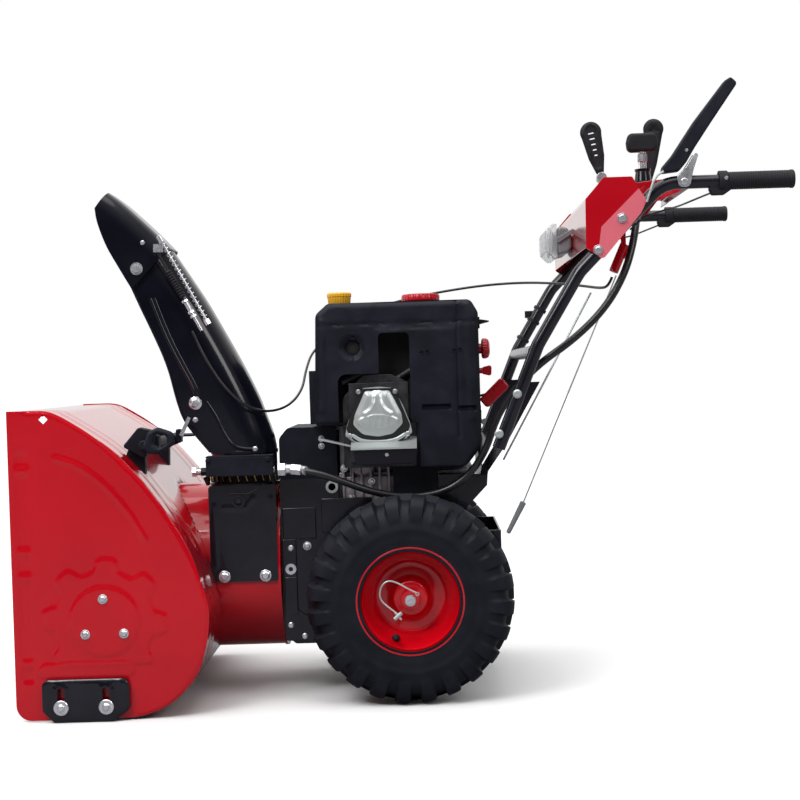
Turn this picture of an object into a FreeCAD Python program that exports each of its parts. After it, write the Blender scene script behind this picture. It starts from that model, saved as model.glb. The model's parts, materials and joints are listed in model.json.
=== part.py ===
# Two-stage snow blower: auger housing, impeller and chute, engine on a wheeled
# chassis, and a pair of handle tubes with the control panel between them.
# Millimetres.  +Z is up, -X is the machine's front, -Y is the operator's left.
# The origin is on the ground, below the middle of the machine.
import FreeCAD, Part
import math
import os
from FreeCAD import Placement, Rotation, Vector

DIMENSIONS = {
    "clear_width": 614, "plate_gauge": 3, "sheet_gauge": 2.5,
    "auger_x": -505, "auger_z": 164, "auger_od": 284, "auger_shaft_od": 24,
    "impeller_z": 221, "impeller_od": 284, "impeller_shaft_od": 20, "drum_od": 300,
    "drum_rear_x": -224,
    "chute_x": -287, "chute_y": -90, "chute_od": 116, "gear_od": 124,
    "wheel_x": 3.5, "tyre_od": 355, "tyre_width": 110, "tyre_track": 440,
    "rim_od": 185, "axle_od": 19,
    "chassis_front": -222, "chassis_rear": 165, "chassis_width": 270,
    "chassis_low": 90, "chassis_top": 380,
    "crank_z": 420, "crank_od": 25,
    "shroud_top": 686, "shroud_width": 340, "shroud_wall": 3,
    "handle_track": 600, "handle_od": 22, "grip_od": 30, "grip_length": 124,
    "running_gap": 0.05, "body_gap": 0.3,
    "shoe_thick": 12, "pivot_od": 8,
}

doc = FreeCAD.newDocument("snow_blower")
sheet = doc.addObject("Spreadsheet::Sheet", "dims")
for row, (alias, number) in enumerate(DIMENSIONS.items(), start=1):
    sheet.set(f"A{row}", alias)
    sheet.set(f"B{row}", str(number))
    sheet.setAlias(f"B{row}", alias)
doc.recompute()

X, Y, Z = Vector(1, 0, 0), Vector(0, 1, 0), Vector(0, 0, 1)
NODES = {}


def dim(alias):
    """Value of one driving dimension."""
    return float(sheet.get(alias))


def bind(obj, prop, size):
    """Set a size, as an expression on the sheet when it is given as text."""
    if isinstance(size, str):
        obj.setExpression(prop, size)
    else:
        setattr(obj, prop, size)


def node(name, obj):
    """Publish an object as the sub-part called name."""
    obj.Label = name
    NODES[name] = obj
    return obj


# ---------------------------------------------------------------- primitives
def box(low, high):
    obj = doc.addObject("Part::Box", "block")
    obj.Length, obj.Width, obj.Height = [b - a for a, b in zip(low, high)]
    obj.Placement = Placement(Vector(*low), Rotation())
    return obj


def rod(start, direction, radius, length):
    """Cylinder from start along direction."""
    obj = doc.addObject("Part::Cylinder", "rod")
    bind(obj, "Radius", radius)
    bind(obj, "Height", length)
    obj.Placement = Placement(Vector(*start), Rotation(Z, Vector(direction)))
    return obj


def rod_between(start, end, radius):
    span = Vector(*end) - Vector(*start)
    return rod(start, span, radius, span.Length)


def fuse(*shapes):
    obj = doc.addObject("Part::MultiFuse", "joined")
    obj.Shapes = list(shapes)
    return obj


def cut(base, *tools):
    for tool in tools:
        result = doc.addObject("Part::Cut", "trimmed")
        result.Base, result.Tool = base, tool
        base = result
    return base


def group(shapes):
    """Several separate solids as one sub-part."""
    obj = doc.addObject("Part::Compound", "group")
    obj.Links = list(shapes)
    return obj


def mirrored(source):
    """The same piece on the operator's right."""
    obj = doc.addObject("Part::Mirroring", "mirrored")
    obj.Source, obj.Normal = source, Y
    return obj


def both_sides(source):
    return [source, mirrored(source)]


# ---------------------------------------------------------- sketched features
def outline(points):
    """Closed outline: straight sides, with an arc at each corner (a, b, radius)."""
    corners = []
    for i, point in enumerate(points):
        here = Vector(point[0], point[1], 0)
        if len(point) < 3:
            corners.append((here, None, here))
            continue
        before = points[i - 1]
        after = points[(i + 1) % len(points)]
        u = (Vector(before[0], before[1], 0) - here).normalize()
        v = (Vector(after[0], after[1], 0) - here).normalize()
        half = u.getAngle(v) / 2
        reach = point[2] / math.tan(half)
        middle = here + (u + v).normalize() * (point[2] / math.sin(half) - point[2])
        corners.append((here + u * reach, middle, here + v * reach))
    shapes = []
    for i, (start, middle, end) in enumerate(corners):
        if middle:
            shapes.append(Part.Arc(start, middle, end))
        following = corners[(i + 1) % len(corners)][0]
        if (following - end).Length > 1e-6:
            shapes.append(Part.LineSegment(end, following))
    return shapes


def sketched_body(plane, points, holes=()):
    """A body with one sketch on the named origin plane."""
    body = doc.addObject("PartDesign::Body", "body")
    sketch = body.newObject("Sketcher::SketchObject", "outline")
    face = next(o for o in body.Origin.OriginFeatures if o.Role == plane + "_Plane")
    sketch.AttachmentSupport = [(face, "")]
    sketch.MapMode = "FlatFace"
    for shape in outline(points):
        sketch.addGeometry(shape, False)
    for a, b, radius in holes:
        sketch.addGeometry(Part.Circle(Vector(a, b, 0), Z, radius), False)
    return body, sketch


def plate(plane, points, thickness, offset, holes=()):
    """Plate of a sketched outline.  An XZ plate reaches from offset towards -Y,
    a YZ plate from offset towards +X and an XY plate from offset towards +Z."""
    body, sketch = sketched_body(plane, points, holes)
    pad = body.newObject("PartDesign::Pad", "pad")
    pad.Profile = sketch
    bind(pad, "Length", thickness)
    normal = {"XZ": Y, "YZ": X, "XY": Z}[plane]
    body.Placement = Placement(normal * offset, Rotation())
    return body


def turned(profile, at, direction):
    """Solid of revolution: profile of (radius, height), turned about direction."""
    body, sketch = sketched_body("XZ", profile)
    turn = body.newObject("PartDesign::Revolution", "turn")
    turn.Profile = sketch
    axis = next(o for o in body.Origin.OriginFeatures if o.Role == "Z_Axis")
    turn.ReferenceAxis = (axis, [""])
    turn.Angle = 360
    body.Placement = Placement(Vector(*at), Rotation(Z, Vector(direction)))
    return body


def strip(points, gauge):
    """Outline of a bent sheet: the line of points, thickened to its right."""
    line = [Vector(a, b, 0) for a, b in points]
    inner = []
    for i, here in enumerate(line):
        ahead = (line[min(i + 1, len(line) - 1)] - here) if i + 1 < len(line) else None
        behind = (here - line[i - 1]) if i else None
        u = (behind or ahead).normalize()
        v = (ahead or behind).normalize()
        right_u, right_v = Vector(u.y, -u.x, 0), Vector(v.y, -v.x, 0)
        mitre = (right_u + right_v).normalize()
        inner.append(here + mitre * (gauge / mitre.dot(right_u)))
    return [(p.x, p.y) for p in line + inner[::-1]]


def routed_wire(points, bend=None):
    """Straight runs joined by tangent arcs: a fixed bend radius, or the largest
    that two neighbouring runs allow."""
    line = [Vector(*p) for p in points]
    edges, start, radii = [], line[0], []
    for before, here, after in zip(line, line[1:], line[2:]):
        u, v = (before - here), (after - here)
        shorter = min(u.Length, v.Length)
        u, v = u.normalize(), v.normalize()
        half = u.getAngle(v) / 2
        radius = bend or 0.45 * shorter * math.tan(half)
        reach = radius / math.tan(half)
        middle = here + (u + v).normalize() * (radius / math.sin(half) - radius)
        edges.append(Part.LineSegment(start, here + u * reach).toShape())
        edges.append(Part.Arc(here + u * reach, middle, here + v * reach).toShape())
        start = here + v * reach
        radii.append(round(radius, 1))
    edges.append(Part.LineSegment(start, line[-1]).toShape())
    return Part.Wire(edges), radii


def tube(points, radius, bend=None, label=None):
    """Round bar or cable along a route."""
    wire, radii = routed_wire(points, bend)
    spine = doc.addObject("Part::Feature", "route")
    spine.Shape = wire
    section = doc.addObject("Part::Circle", "section")
    bind(section, "Radius", radius)
    toward = Vector(*points[1]) - Vector(*points[0])
    section.Placement = Placement(Vector(*points[0]), Rotation(Z, toward))
    sweep = doc.addObject("Part::Sweep", "tube")
    sweep.Sections = [section]
    sweep.Spine = (spine, [f"Edge{i + 1}" for i in range(len(wire.Edges))])
    sweep.Solid = True
    if label:
        print(label, "length", round(wire.Length), "bend radii", radii)
    return sweep


def channel_wire(front, rear, half_width, corner, offset):
    """Closed U section across a chute, open at its front edge.  front and rear
    are (x, z) on the outer faces; the sheet is offset thick."""
    front, rear = Vector(front[0], 0, front[1]), Vector(rear[0], 0, rear[1])
    along = (rear - front).normalize()
    depth = (rear - front).Length
    mid_y = dim("chute_y")

    def at(distance, side):
        return front + along * distance + Y * (mid_y + side)

    def leg(width, reach, radius):
        slant = radius * (1 - math.sqrt(0.5))
        left = [at(0, -width), at(reach - radius, -width)]
        turn_in = at(reach - slant, -(width - slant))
        low = at(reach, -(width - radius))
        high = at(reach, width - radius)
        turn_out = at(reach - slant, width - slant)
        right = [at(reach - radius, width), at(0, width)]
        return left, turn_in, low, high, turn_out, right

    outer = leg(half_width, depth, corner)
    inner = leg(half_width - offset, depth - offset, corner - offset)

    def edges(sides):
        left, turn_in, low, high, turn_out, right = sides
        return [Part.LineSegment(*left).toShape(), Part.Arc(left[1], turn_in, low).toShape(),
                Part.LineSegment(low, high).toShape(), Part.Arc(high, turn_out, right[0]).toShape(),
                Part.LineSegment(*right).toShape()]

    across = [Part.LineSegment(outer[5][1], inner[5][1]).toShape()]
    back = [Part.LineSegment(inner[0][0], outer[0][0]).toShape()]
    return Part.Wire(Part.__sortEdges__(edges(outer) + across + edges(inner) + back))


def channel(sections, half_width, corner, gauge):
    """Bent U channel through (front, rear) sections."""
    wires = [channel_wire(f, r, half_width, corner, gauge) for f, r in sections]
    obj = doc.addObject("Part::Feature", "channel")
    obj.Shape = Part.makeLoft(wires, True, True)
    return obj


def bolt(at, direction, size, washer=True):
    """Hex head, thickness 0.6 of its size, on a washer."""
    axis = Vector(direction)
    start = Vector(*at)
    pieces = []
    if washer:
        pieces.append(rod(start, axis, size * 1.15, 1.6))
        start = start + axis * 1.6
    head = doc.addObject("Part::Prism", "head")
    head.Polygon, head.Circumradius, head.Height = 6, size * 0.82, size * 0.6
    head.Placement = Placement(start, Rotation(Z, axis))
    return fuse(*pieces, head) if pieces else head


# ------------------------------------------------------------------- housing
half_width = dim("clear_width") / 2
plate_gauge = dim("plate_gauge")
sheet_gauge = dim("sheet_gauge")
inside = half_width - plate_gauge
auger = Vector(dim("auger_x"), 0, dim("auger_z"))
impeller_z = dim("impeller_z")

SIDE_OUTLINE = [
    (-657, 518), (-585, 515, 60), (-502, 465, 120), (-422, 381, 160), (-351, 262, 200),
    (-329, 170, 120), (-350, 74, 120), (-401, 22, 90), (-452, 4, 60), (-500, 2), (-657, 2, 26)]
WRAP_LINE = [
    (-652, 505), (-652, 514), (-588, 512), (-566, 502), (-502, 461), (-462, 425), (-424, 379),
    (-384, 319), (-355, 261), (-337, 195), (-333, 165), (-341, 112), (-359, 64), (-403, 25),
    (-437, 10), (-468, 6)]

interior_line = [(-690, 510), (-690, 6)] + WRAP_LINE[:1:-1]
drum_radius = dim("drum_od") / 2


def interior():
    return plate("XZ", interior_line, 2 * inside, inside)


wrap_sheet = plate("XZ", strip(WRAP_LINE, sheet_gauge), 2 * inside, inside)
drum_bore = rod((-470, 0, impeller_z), X, "dims.drum_od / 2 - dims.sheet_gauge", 200)
node("housing_wrap", cut(wrap_sheet, drum_bore))


def side_plate():
    diamond = [(-604, 503), (-596, 511), (-588, 503), (-596, 495)]
    sheet_metal = plate("XZ", SIDE_OUTLINE, "dims.plate_gauge", -inside)
    boss = rod((auger.x, -half_width, auger.z), -Y, 62, 2)
    skid_pad = plate("XZ", [(-622, 60), (-606, 96), (-470, 96), (-454, 60)], 2, -half_width)
    window = plate("XZ", diamond, 12, -inside + 4)
    return cut(fuse(sheet_metal, boss, skid_pad), window)


node("side_plate_left", side_plate())
node("side_plate_right", mirrored(side_plate()))

drum_front = -440
drum_length = dim("drum_rear_x") - drum_front
drum_wall = cut(rod((drum_front, 0, impeller_z), X, "dims.drum_od / 2", drum_length),
                rod((drum_front - 1, 0, impeller_z), X, "dims.drum_od / 2 - dims.sheet_gauge",
                    drum_length - sheet_gauge + 1))
rear_lip = rod((dim("drum_rear_x") - 5, 0, impeller_z), X, "dims.drum_od / 2 + 2", 5)
lip_ring = cut(rear_lip, rod((dim("drum_rear_x") - 9, 0, impeller_z), X,
                             "dims.drum_od / 2 - dims.sheet_gauge", 9 - sheet_gauge))
shaft_hole = rod((dim("drum_rear_x") - 20, 0, impeller_z), X, 14, 40)
outlet = box((-342.5, -147, impeller_z), (-229, -33, impeller_z + 190))
node("impeller_drum", cut(fuse(drum_wall, lip_ring), interior(), shaft_hole, outlet))

node("scraper_bar", plate("XZ", [(-505, 1), (-452, 1), (-438, 5), (-438, 9), (-452, 5.5),
                                 (-505, 5)], 2 * (inside - 0.5), inside - 0.5))

flange = cut(turned([(0, 0), (46, 0), (46, 3), (26, 7), (26, 12), (0, 12)],
                    (auger.x, -inside, auger.z), Y),
             rod((auger.x, -inside - 1, auger.z), Y,
                 "dims.auger_shaft_od / 2 + dims.running_gap", 20))
node("bearing_flanges", group(both_sides(flange)))

gear_case = turned([(0, -34), (34, -34), (58, -22), (58, 22), (34, 34), (0, 34)],
                   (auger.x, 0, auger.z), Y)
worm_case = rod((auger.x - 52, 0, impeller_z), X, 27, 120)
web = box((auger.x - 20, -18, auger.z), (auger.x + 20, 18, impeller_z))
node("auger_gearbox", cut(
    fuse(gear_case, worm_case, web),
    rod((auger.x, -60, auger.z), Y, "dims.auger_shaft_od / 2 + dims.running_gap", 120),
    rod((auger.x - 60, 0, impeller_z), X, "dims.impeller_shaft_od / 2 + dims.running_gap", 200)))

# --------------------------------------------------------------------- auger
node("auger_shaft", rod((auger.x, -inside + 1, auger.z), Y, "dims.auger_shaft_od / 2",
                        2 * (inside - 1)))


def flight():
    """Ribbon screw from the housing side towards the gearbox, with its spokes."""
    length, pitch, ribbon = 218, 218, 34
    outer = dim("auger_od") / 2
    middle = outer - ribbon / 2
    helix = Part.makeHelix(pitch, length, middle)
    low, high = outer - ribbon, outer
    section = Part.makePolygon([Vector(low, 0, -2), Vector(high, 0, -2), Vector(high, 0, 2),
                                Vector(low, 0, 2), Vector(low, 0, -2)])
    solid = Part.Wire(helix.Edges).makePipeShell([section], True, True)
    hub = dim("auger_shaft_od") / 2
    pieces = [solid]
    sleeve = Part.makeCylinder(hub + 5, length + 12, Vector(0, 0, -6))
    pieces.append(sleeve.cut(Part.makeCylinder(hub, length + 30, Vector(0, 0, -15))))
    for turn in (0.08, 0.5, 0.92):
        angle = 2 * math.pi * turn
        spoke = Part.makeBox(low + 12 - hub, 26, 5, Vector(hub + 2, -13, pitch * turn - 2.5))
        spoke.rotate(Vector(0, 0, 0), Z, math.degrees(angle))
        pieces.append(spoke)
    obj = doc.addObject("Part::Feature", "flight")
    obj.Shape = pieces[0].fuse(pieces[1:])
    obj.Placement = Placement(Vector(auger.x, -270, auger.z), Rotation(Z, Y))
    return obj


node("auger_flights", group(both_sides(flight())))

# ------------------------------------------------------------------ impeller
hub = rod((-330, 0, impeller_z), X, 26, 92)
blades = []
for quarter in range(4):
    blade = plate("YZ", [(-2, 20), (2, 20), (2, 118), (26, 138), (24, 140), (-2, 120)], 92, 0)
    spin = Rotation(X, 90 * quarter + 20)
    blade.Placement = Placement(Vector(-330, 0, impeller_z), spin)
    blades.append(blade)
back_disc = rod((-240, 0, impeller_z), X, 70, 3)
shaft = rod((auger.x - 48, 0, impeller_z), X, "dims.impeller_shaft_od / 2", 375)
node("impeller", fuse(hub, back_disc, shaft, *blades))
PULLEY = [(0, 0), (1, 0), (1, 4), (0.86, 9), (1, 14), (1, 18), (0, 18)]


def pulley(radius, x, z):
    return turned([(radius * r, w) for r, w in PULLEY], (x, 0, z), X)


node("impeller_pulley", cut(pulley(84, -204, impeller_z),
                            rod((-210, 0, impeller_z), X, "dims.impeller_shaft_od / 2", 40)))

# ----------------------------------------------------- chute neck, gear, chute
chute = Vector(dim("chute_x"), dim("chute_y"), 0)
neck_low = (chute.x - 57, chute.y - 63, 205)
neck_high = (chute.x + 57, chute.y + 60, 374)
neck_shell = cut(box(neck_low, neck_high),
                 box((chute.x - 54.5, chute.y - 57.5, 190), (chute.x + 54.5, chute.y + 57.5, 400)),
                 rod((chute.x - 80, 0, impeller_z), X, "dims.drum_od / 2 + 0.2", 160),
                 box((chute.x - 80, chute.y - 59.7, 150), (chute.x + 80, chute.y + 80, impeller_z)),
                 interior())
top_ring = cut(rod((chute.x, chute.y, 371), Z, "dims.gear_od / 2", 5),
               rod((chute.x, chute.y, 360), Z, 54, 40))
node("chute_neck", fuse(neck_shell, top_ring))

gear_radius = dim("gear_od") / 2
gear_body = cut(rod((chute.x, chute.y, 377), Z, gear_radius - 4, 22),
                rod((chute.x, chute.y, 370), Z, 54, 60))
teeth = []
for tooth in range(26):
    angle = 2 * math.pi * tooth / 26
    post = box((gear_radius - 6, -2.6, 0), (gear_radius, 2.6, 22))
    post.Placement = Placement(
        Vector(chute.x, chute.y, 377) + Vector(math.cos(angle), math.sin(angle), 0)
        * (gear_radius - 6), Rotation(Z, math.degrees(angle))
    ).multiply(Placement(Vector(0, -2.6, 0), Rotation()))
    teeth.append(post)
node("ring_gear", fuse(gear_body, *teeth))

CHUTE_SECTIONS = [
    ((-338, 432), (-229, 432)), ((-366, 462), (-233, 450)), ((-386, 492), (-243, 489)),
    ((-396, 530), (-258, 530)), ((-411, 590), (-285, 588)), ((-440, 660), (-325, 664)),
    ((-457, 700), (-352, 706)), ((-471, 734), (-404, 795))]
collar = cut(rod((chute.x, chute.y, 399), Z, "dims.chute_od / 2", 36),
             rod((chute.x, chute.y, 390), Z, "dims.chute_od / 2 - dims.sheet_gauge", 60))
chute_half = dim("chute_od") / 2
chute_body = channel(CHUTE_SECTIONS, chute_half, 48, sheet_gauge)
hinge = Vector(-458, 0, 758)
pivot_radius = dim("pivot_od") / 2
EAR = [(-469, 728), (-471, 771, 10), (-446, 771, 10), (-440, 745)]
ears = [plate("XZ", EAR, "dims.sheet_gauge", chute.y - chute_half + sheet_gauge),
        plate("XZ", EAR, "dims.sheet_gauge", chute.y + chute_half)]
hinge_bore = rod((hinge.x, chute.y - 80, hinge.z), Y, "dims.pivot_od / 2 + dims.running_gap", 160)
node("chute", cut(fuse(collar, chute_body, *ears), hinge_bore))

DEFLECTOR_SECTIONS = [
    ((-468, 722), (-396.5, 794)), ((-492, 762), (-423, 823)), ((-511, 800), (-452, 849)),
    ((-525, 842), (-482, 877)), ((-529, 868), (-506, 896))]
deflector_half = chute_half + 3.8
hood = channel(DEFLECTOR_SECTIONS, deflector_half, 30, sheet_gauge)
pins = [rod((hinge.x, y, hinge.z), Y, "dims.pivot_od / 2", 13)
        for y in (chute.y - deflector_half - 4, chute.y + deflector_half - 9)]
node("deflector", fuse(hood, *pins))

spring_y = chute.y - deflector_half - 13
spring_rod = rod_between((-365, spring_y, 652), (-425, spring_y, 807), 5.5)
node("deflector_spring", spring_rod)

worm_y = chute.y - gear_radius - 10.6
worm_z = 400
THREAD = [(0, 0), (6, 0)]
for ring in range(7):
    foot = 30 + ring * 11
    THREAD += [(6, foot), (10, foot + 2), (10, foot + 5), (6, foot + 7)]
THREAD += [(6, 138), (0, 138)]
worm = turned(THREAD, (-364, worm_y, worm_z), X)
end_nut = rod((-372, worm_y, worm_z), X, 9, 9)
node("worm_shaft", fuse(worm, end_nut))

cover_low, cover_high = (-345, worm_y - 20, 390), (-229, worm_y + 13, 427)
node("worm_cover", cut(
    fuse(box(cover_low, cover_high), box((-345, worm_y - 6, 374.1), (-341, worm_y + 16, 395)),
         box((-233, worm_y - 6, 374.1), (-229, worm_y + 16, 395))),
    box((-341, worm_y - 17, 380), (-233, worm_y + 20, 424)),
    rod((-360, worm_y, worm_z), X, 6.05, 150)))

# ------------------------------------------------------------------- chassis
chassis_half = dim("chassis_width") / 2
wheel = Vector(dim("wheel_x"), 0, dim("tyre_od") / 2)
front, rear = dim("chassis_front"), dim("chassis_rear")
low, top = dim("chassis_low"), dim("chassis_top")
side_shape = [(front, top), (front, low + 17, 8), (front + 20, low, 8), (rear - 40, low, 12),
              (rear, low + 70, 12), (rear, top)]
shell = cut(plate("XZ", side_shape, "dims.chassis_width", chassis_half),
            plate("XZ", [(a + (3 if a < 0 else -3), b + (3 if b < 200 else -3))
                         for a, b, *_ in side_shape], 2 * (chassis_half - 3), chassis_half - 3))
node("chassis_frame", cut(
    shell,
    rod((wheel.x, -200, wheel.z), Y, "dims.axle_od / 2 + dims.running_gap", 400),
    rod((front - 20, 0, impeller_z), X, 16, 40),
    box((front - 2, -105.5, 337.5), (-120.5, 105.5, top + 10)),
    box((-119, -140, 329), (58, 140, top + 10)),
    plate("XZ", [(142, 390), (142, 360), (106, 322), (106, 280), (rear + 5, 280), (rear + 5, 390)],
          280, 140)))

node("belt_cover", cut(
    plate("XZ", [(front - 1.7, 338), (front - 1.7, 452, 16), (-208, 470, 10), (-129, 470, 6),
                 (-121, 462), (-121, 338)], 210, 105),
    box((front + 1.3, -102, 330), (-124, 102, 466)),
    rod((-140, 0, dim("crank_z")), X, 16, 40)))

# -------------------------------------------------------------------- engine
crank_z = dim("crank_z")
case = box((-118, -95, top), (112, 120, 492))
mount = box((-118, -110, top), (122, 130, top + 8))
sump = box((-118, -130, 330), (57, 120, top))
barrel = []
for fin in range(7):
    y = -96 - fin * 9
    barrel.append(box((-108, y - 3, 398), (24, y, 560)))
barrel.append(box((-96, -165, 408), (12, -90, 548)))
crank_bore = rod((-140, 0, crank_z), X, "dims.crank_od / 2 + dims.running_gap", 150)
node("engine_block", cut(fuse(case, mount, sump, *barrel), crank_bore))

rocker_outline = [(-87, 541, 10), (-7, 541, 10), (13, 466, 12), (-6, 440, 16), (-82, 440, 16),
                  (-101, 466, 12)]
rocker_inner = [(-80, 534, 8), (-14, 534, 8), (4, 468, 10), (-10, 449, 12), (-78, 449, 12),
                (-92, 468, 10)]
node("valve_cover", fuse(plate("XZ", rocker_outline, 6, -165),
                         plate("XZ", rocker_inner, 16, -171)))
node("heat_shield", plate("YZ", [(-190, 432), (-168, 432), (-168, 405), (-166, 405), (-166, 434),
                                 (-190, 434)], 112, -90))

node("crankshaft", fuse(rod((-200, 0, crank_z), X, "dims.crank_od / 2", 180),
                        pulley(38, -206, crank_z), pulley(34, -180, crank_z)))

shroud_top, wall = dim("shroud_top"), dim("shroud_wall")
shroud_half = dim("shroud_width") / 2
SHROUD = [(-126, shroud_top, 14), (122, shroud_top, 14), (135, 663, 16), (135, 430, 30),
          (108, 392, 30), (22, 392, 20), (22, 474), (-154, 474, 6), (-148, 667, 16)]
SHROUD_INSIDE = [(-125, shroud_top - wall, 12), (121, shroud_top - wall, 12), (132, 662, 14),
                 (132, 431, 28), (107, 395, 28), (25, 395, 18), (25, 380), (-148, 380),
                 (-151, 473), (-145, 666, 14)]
head_window = [(-113, 466), (-113, 562, 8), (-40, 562), (-40, 632, 6), (15, 632, 6), (15, 466)]
top_vents = [box((40 + 14 * i, 60, shroud_top - 12), (47 + 14 * i, 130, shroud_top + 4))
             for i in range(4)]
case_clear = box((-130, -112, 370), (124, 132, 496))
node("engine_shroud", cut(
    fuse(plate("XZ", SHROUD, "dims.shroud_width", shroud_half),
         box((-164, -140, 476), (-152, 0, 570)),
         rod((-113.5, 0, shroud_top - 1), Z, 20, 6.5), rod((36, 0, shroud_top - 1), Z, 32, 6.5)),
    plate("XZ", SHROUD_INSIDE, 2 * (shroud_half - wall), shroud_half - wall),
    plate("XZ", head_window, 40, -shroud_half + 20), case_clear, *top_vents,
    rod((-60, 160, 520), Y, 14.3, 20)))

node("muffler", fuse(box((-96, 172, 440), (40, 214, 560)), rod((-60, 110, 520), Y, 14, 64)))
turn_gap = shroud_top + 5.8
node("fuel_cap", turned([(0, 0), (35, 0), (35, 10), (31, 14), (0, 14)], (36, 0, turn_gap), Z))
node("oil_cap", turned([(0, 0), (22.5, 0), (22.5, 17), (19, 21), (0, 21)],
                       (-113.5, 0, turn_gap), Z))
node("choke_knob", turned([(0, 0), (9, 0), (9, 5), (18, 7), (18, 17), (15, 20), (0, 20)],
                          (135.4, -120, 600), X))
node("ignition_key", fuse(box((135.4, -126, 555), (142, -114, 567)),
                          box((142, -122, 551), (158, -118, 571))))
node("throttle_lever", fuse(box((135.4, -124, 636), (139, -96, 656)),
                            box((139, -118, 642), (156, -102, 649))))
handle_bar = plate("XZ", [(139, 497, 8), (152, 487, 8), (186, 540, 8), (173, 551, 8)], 26, -27)
node("recoil_handle", handle_bar)

# -------------------------------------------------------------------- wheels
tyre_half = dim("tyre_width") / 2
tyre_radius, rim_radius = dim("tyre_od") / 2, dim("rim_od") / 2
wheel_y = dim("tyre_track") / 2
TYRE = [(rim_radius - 6, -34), (rim_radius + 4, -47, 6), (128, -tyre_half, 24),
        (tyre_radius - 12, -tyre_half + 3, 14), (tyre_radius, -tyre_half + 22, 10),
        (tyre_radius, tyre_half - 22, 10), (tyre_radius - 12, tyre_half - 3, 14),
        (128, tyre_half, 24), (rim_radius + 4, 47, 6), (rim_radius - 6, 34)]
RIM = [(9.5, -28), (24, -28), (26, -12), (60, -8), (66, -30), (72, -34), (76, -47),
       (rim_radius, -50), (rim_radius, -46), (rim_radius - 7, -34), (rim_radius - 7, 34),
       (rim_radius, 46), (rim_radius, 50), (80, 47), (76, 34), (68, -2), (26, 2), (24, 20),
       (9.5, 20)]


def wheel_side(name, sign):
    centre = (wheel.x, sign * wheel_y, wheel.z)
    node("tyre_" + name, turned(TYRE, centre, Y * sign))
    node("rim_" + name, turned(RIM, centre, Y * sign))


wheel_side("left", -1)
wheel_side("right", 1)
node("axle", rod((wheel.x, -262, wheel.z), Y, "dims.axle_od / 2", 524))


def lynch_pin():
    """Spring-clip pin: a straight pin beside the axle end and its wire loop."""
    y = -266
    pin = rod_between((wheel.x - 26, y, wheel.z - 28), (wheel.x + 22, y, wheel.z + 18), 2.6)
    loop = tube([(wheel.x - 26, y, wheel.z - 28), (wheel.x - 52, y, wheel.z + 8),
                 (wheel.x - 26, y, wheel.z + 36), (wheel.x + 22, y, wheel.z + 18)], 1.6)
    return fuse(pin, loop)


node("lynch_pins", group(both_sides(lynch_pin())))

# ---------------------------------------------------------- handles and dash
handle_y = dim("handle_track") / 2
tube_radius = dim("handle_od") / 2
HANDLE_LINE = [(650, 861), (442, 861), (300, 719), (228, 601), (158, 432)]


def handle(name, sign):
    route = [(x, sign * handle_y, z) for x, z in HANDLE_LINE]
    node("handle_" + name, tube(route, "dims.handle_od / 2", bend=62))


handle("left", -1)
handle("right", 1)
grip_start = 533


def grip():
    body = rod((grip_start, -handle_y, 861), X, "dims.grip_od / 2", "dims.grip_length")
    lobe = plate("XZ", [(grip_start - 16, 846), (grip_start - 12, 838, 4), (grip_start + 8, 838, 4),
                        (grip_start + 24, 848), (grip_start + 10, 862), (grip_start - 16, 862)],
                 16, -handle_y + 8)
    return cut(fuse(body, lobe), rod((grip_start - 40, -handle_y, 861), X, tube_radius, 157))


node("grips", group(both_sides(grip())))

arm_line = [(-handle_y + tube_radius, 540), (-handle_y + tube_radius, 434),
            (-chassis_half - 4, 378), (-chassis_half - 4, 316)]
arm = cut(plate("YZ", strip(arm_line[::-1], 4), 158, 90),
          plate("XZ", [(80, 376), (131, 376), (133, 396), (206, 560), (80, 560)], 700, 350),
          plate("XZ", [(106, 300), (300, 300), (300, 560), (242, 560), (166, 428), (145, 386),
                       (143, 360), (106, 322)], 700, 350))
node("handle_brackets", group(both_sides(arm)))
node("cross_brace", rod((223, -handle_y + tube_radius - 2, 590), Y, tube_radius,
                        2 * (handle_y - tube_radius + 2)))

dash_half = handle_y + tube_radius + 0.8
dash_line = [(311, 759), (313, 836), (346, 872), (391, 872)]
front_sheet = plate("XZ", strip(dash_line, sheet_gauge), 2 * dash_half, dash_half)
cheek = plate("XZ", [(310, 757), (312, 836, 6), (345, 872), (391, 872, 6), (414, 833, 8),
                     (338, 738, 8), (322, 747)], 3, -dash_half + 0.4)
shelf = plate("XZ", strip([(388, 872), (430, 876), (512, 884)], sheet_gauge), 400, 200)
node("dash_panel", fuse(front_sheet, *both_sides(cheek), shelf))
node("headlamp_housing", plate("XZ", [(284, 764, 4), (284, 816, 4), (304, 812, 4), (310.6, 800),
                                      (310.6, 776), (304, 768, 4)], 140, 70))
node("headlamp_lens", plate("XZ", [(262, 776, 12), (262, 806, 12), (278, 820, 6), (283.8, 820),
                                   (283.8, 758), (276, 758, 8)], 148, 74))

# ---------------------------------------------------------- panel controls
knob_x, knob_y = 431, -140
knob_base = turned([(0, 0), (20, 0), (14, 25), (0, 25)], (knob_x, knob_y, 878.6), Z)
cable_block = fuse(rod_between((367, -207, 722), (388, -207, 769), 8),
                   box((382, -215, 764), (389, -200, 869.4)))
node("control_brackets", group([knob_base, cable_block]))
knob_arms = [(knob_x - 26, 934, 8), (knob_x + 26, 934, 8), (knob_x + 26, 966, 8),
             (knob_x - 26, 966, 8)]
node("chute_knob", fuse(rod((knob_x, knob_y, 904), Z, 7, 24),
                        turned([(0, 0), (14, 0, 3), (18, 14, 6), (17, 36, 6), (0, 38)],
                               (knob_x, knob_y, 928), Z),
                        plate("XZ", knob_arms, 20, knob_y + 10)))


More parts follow.
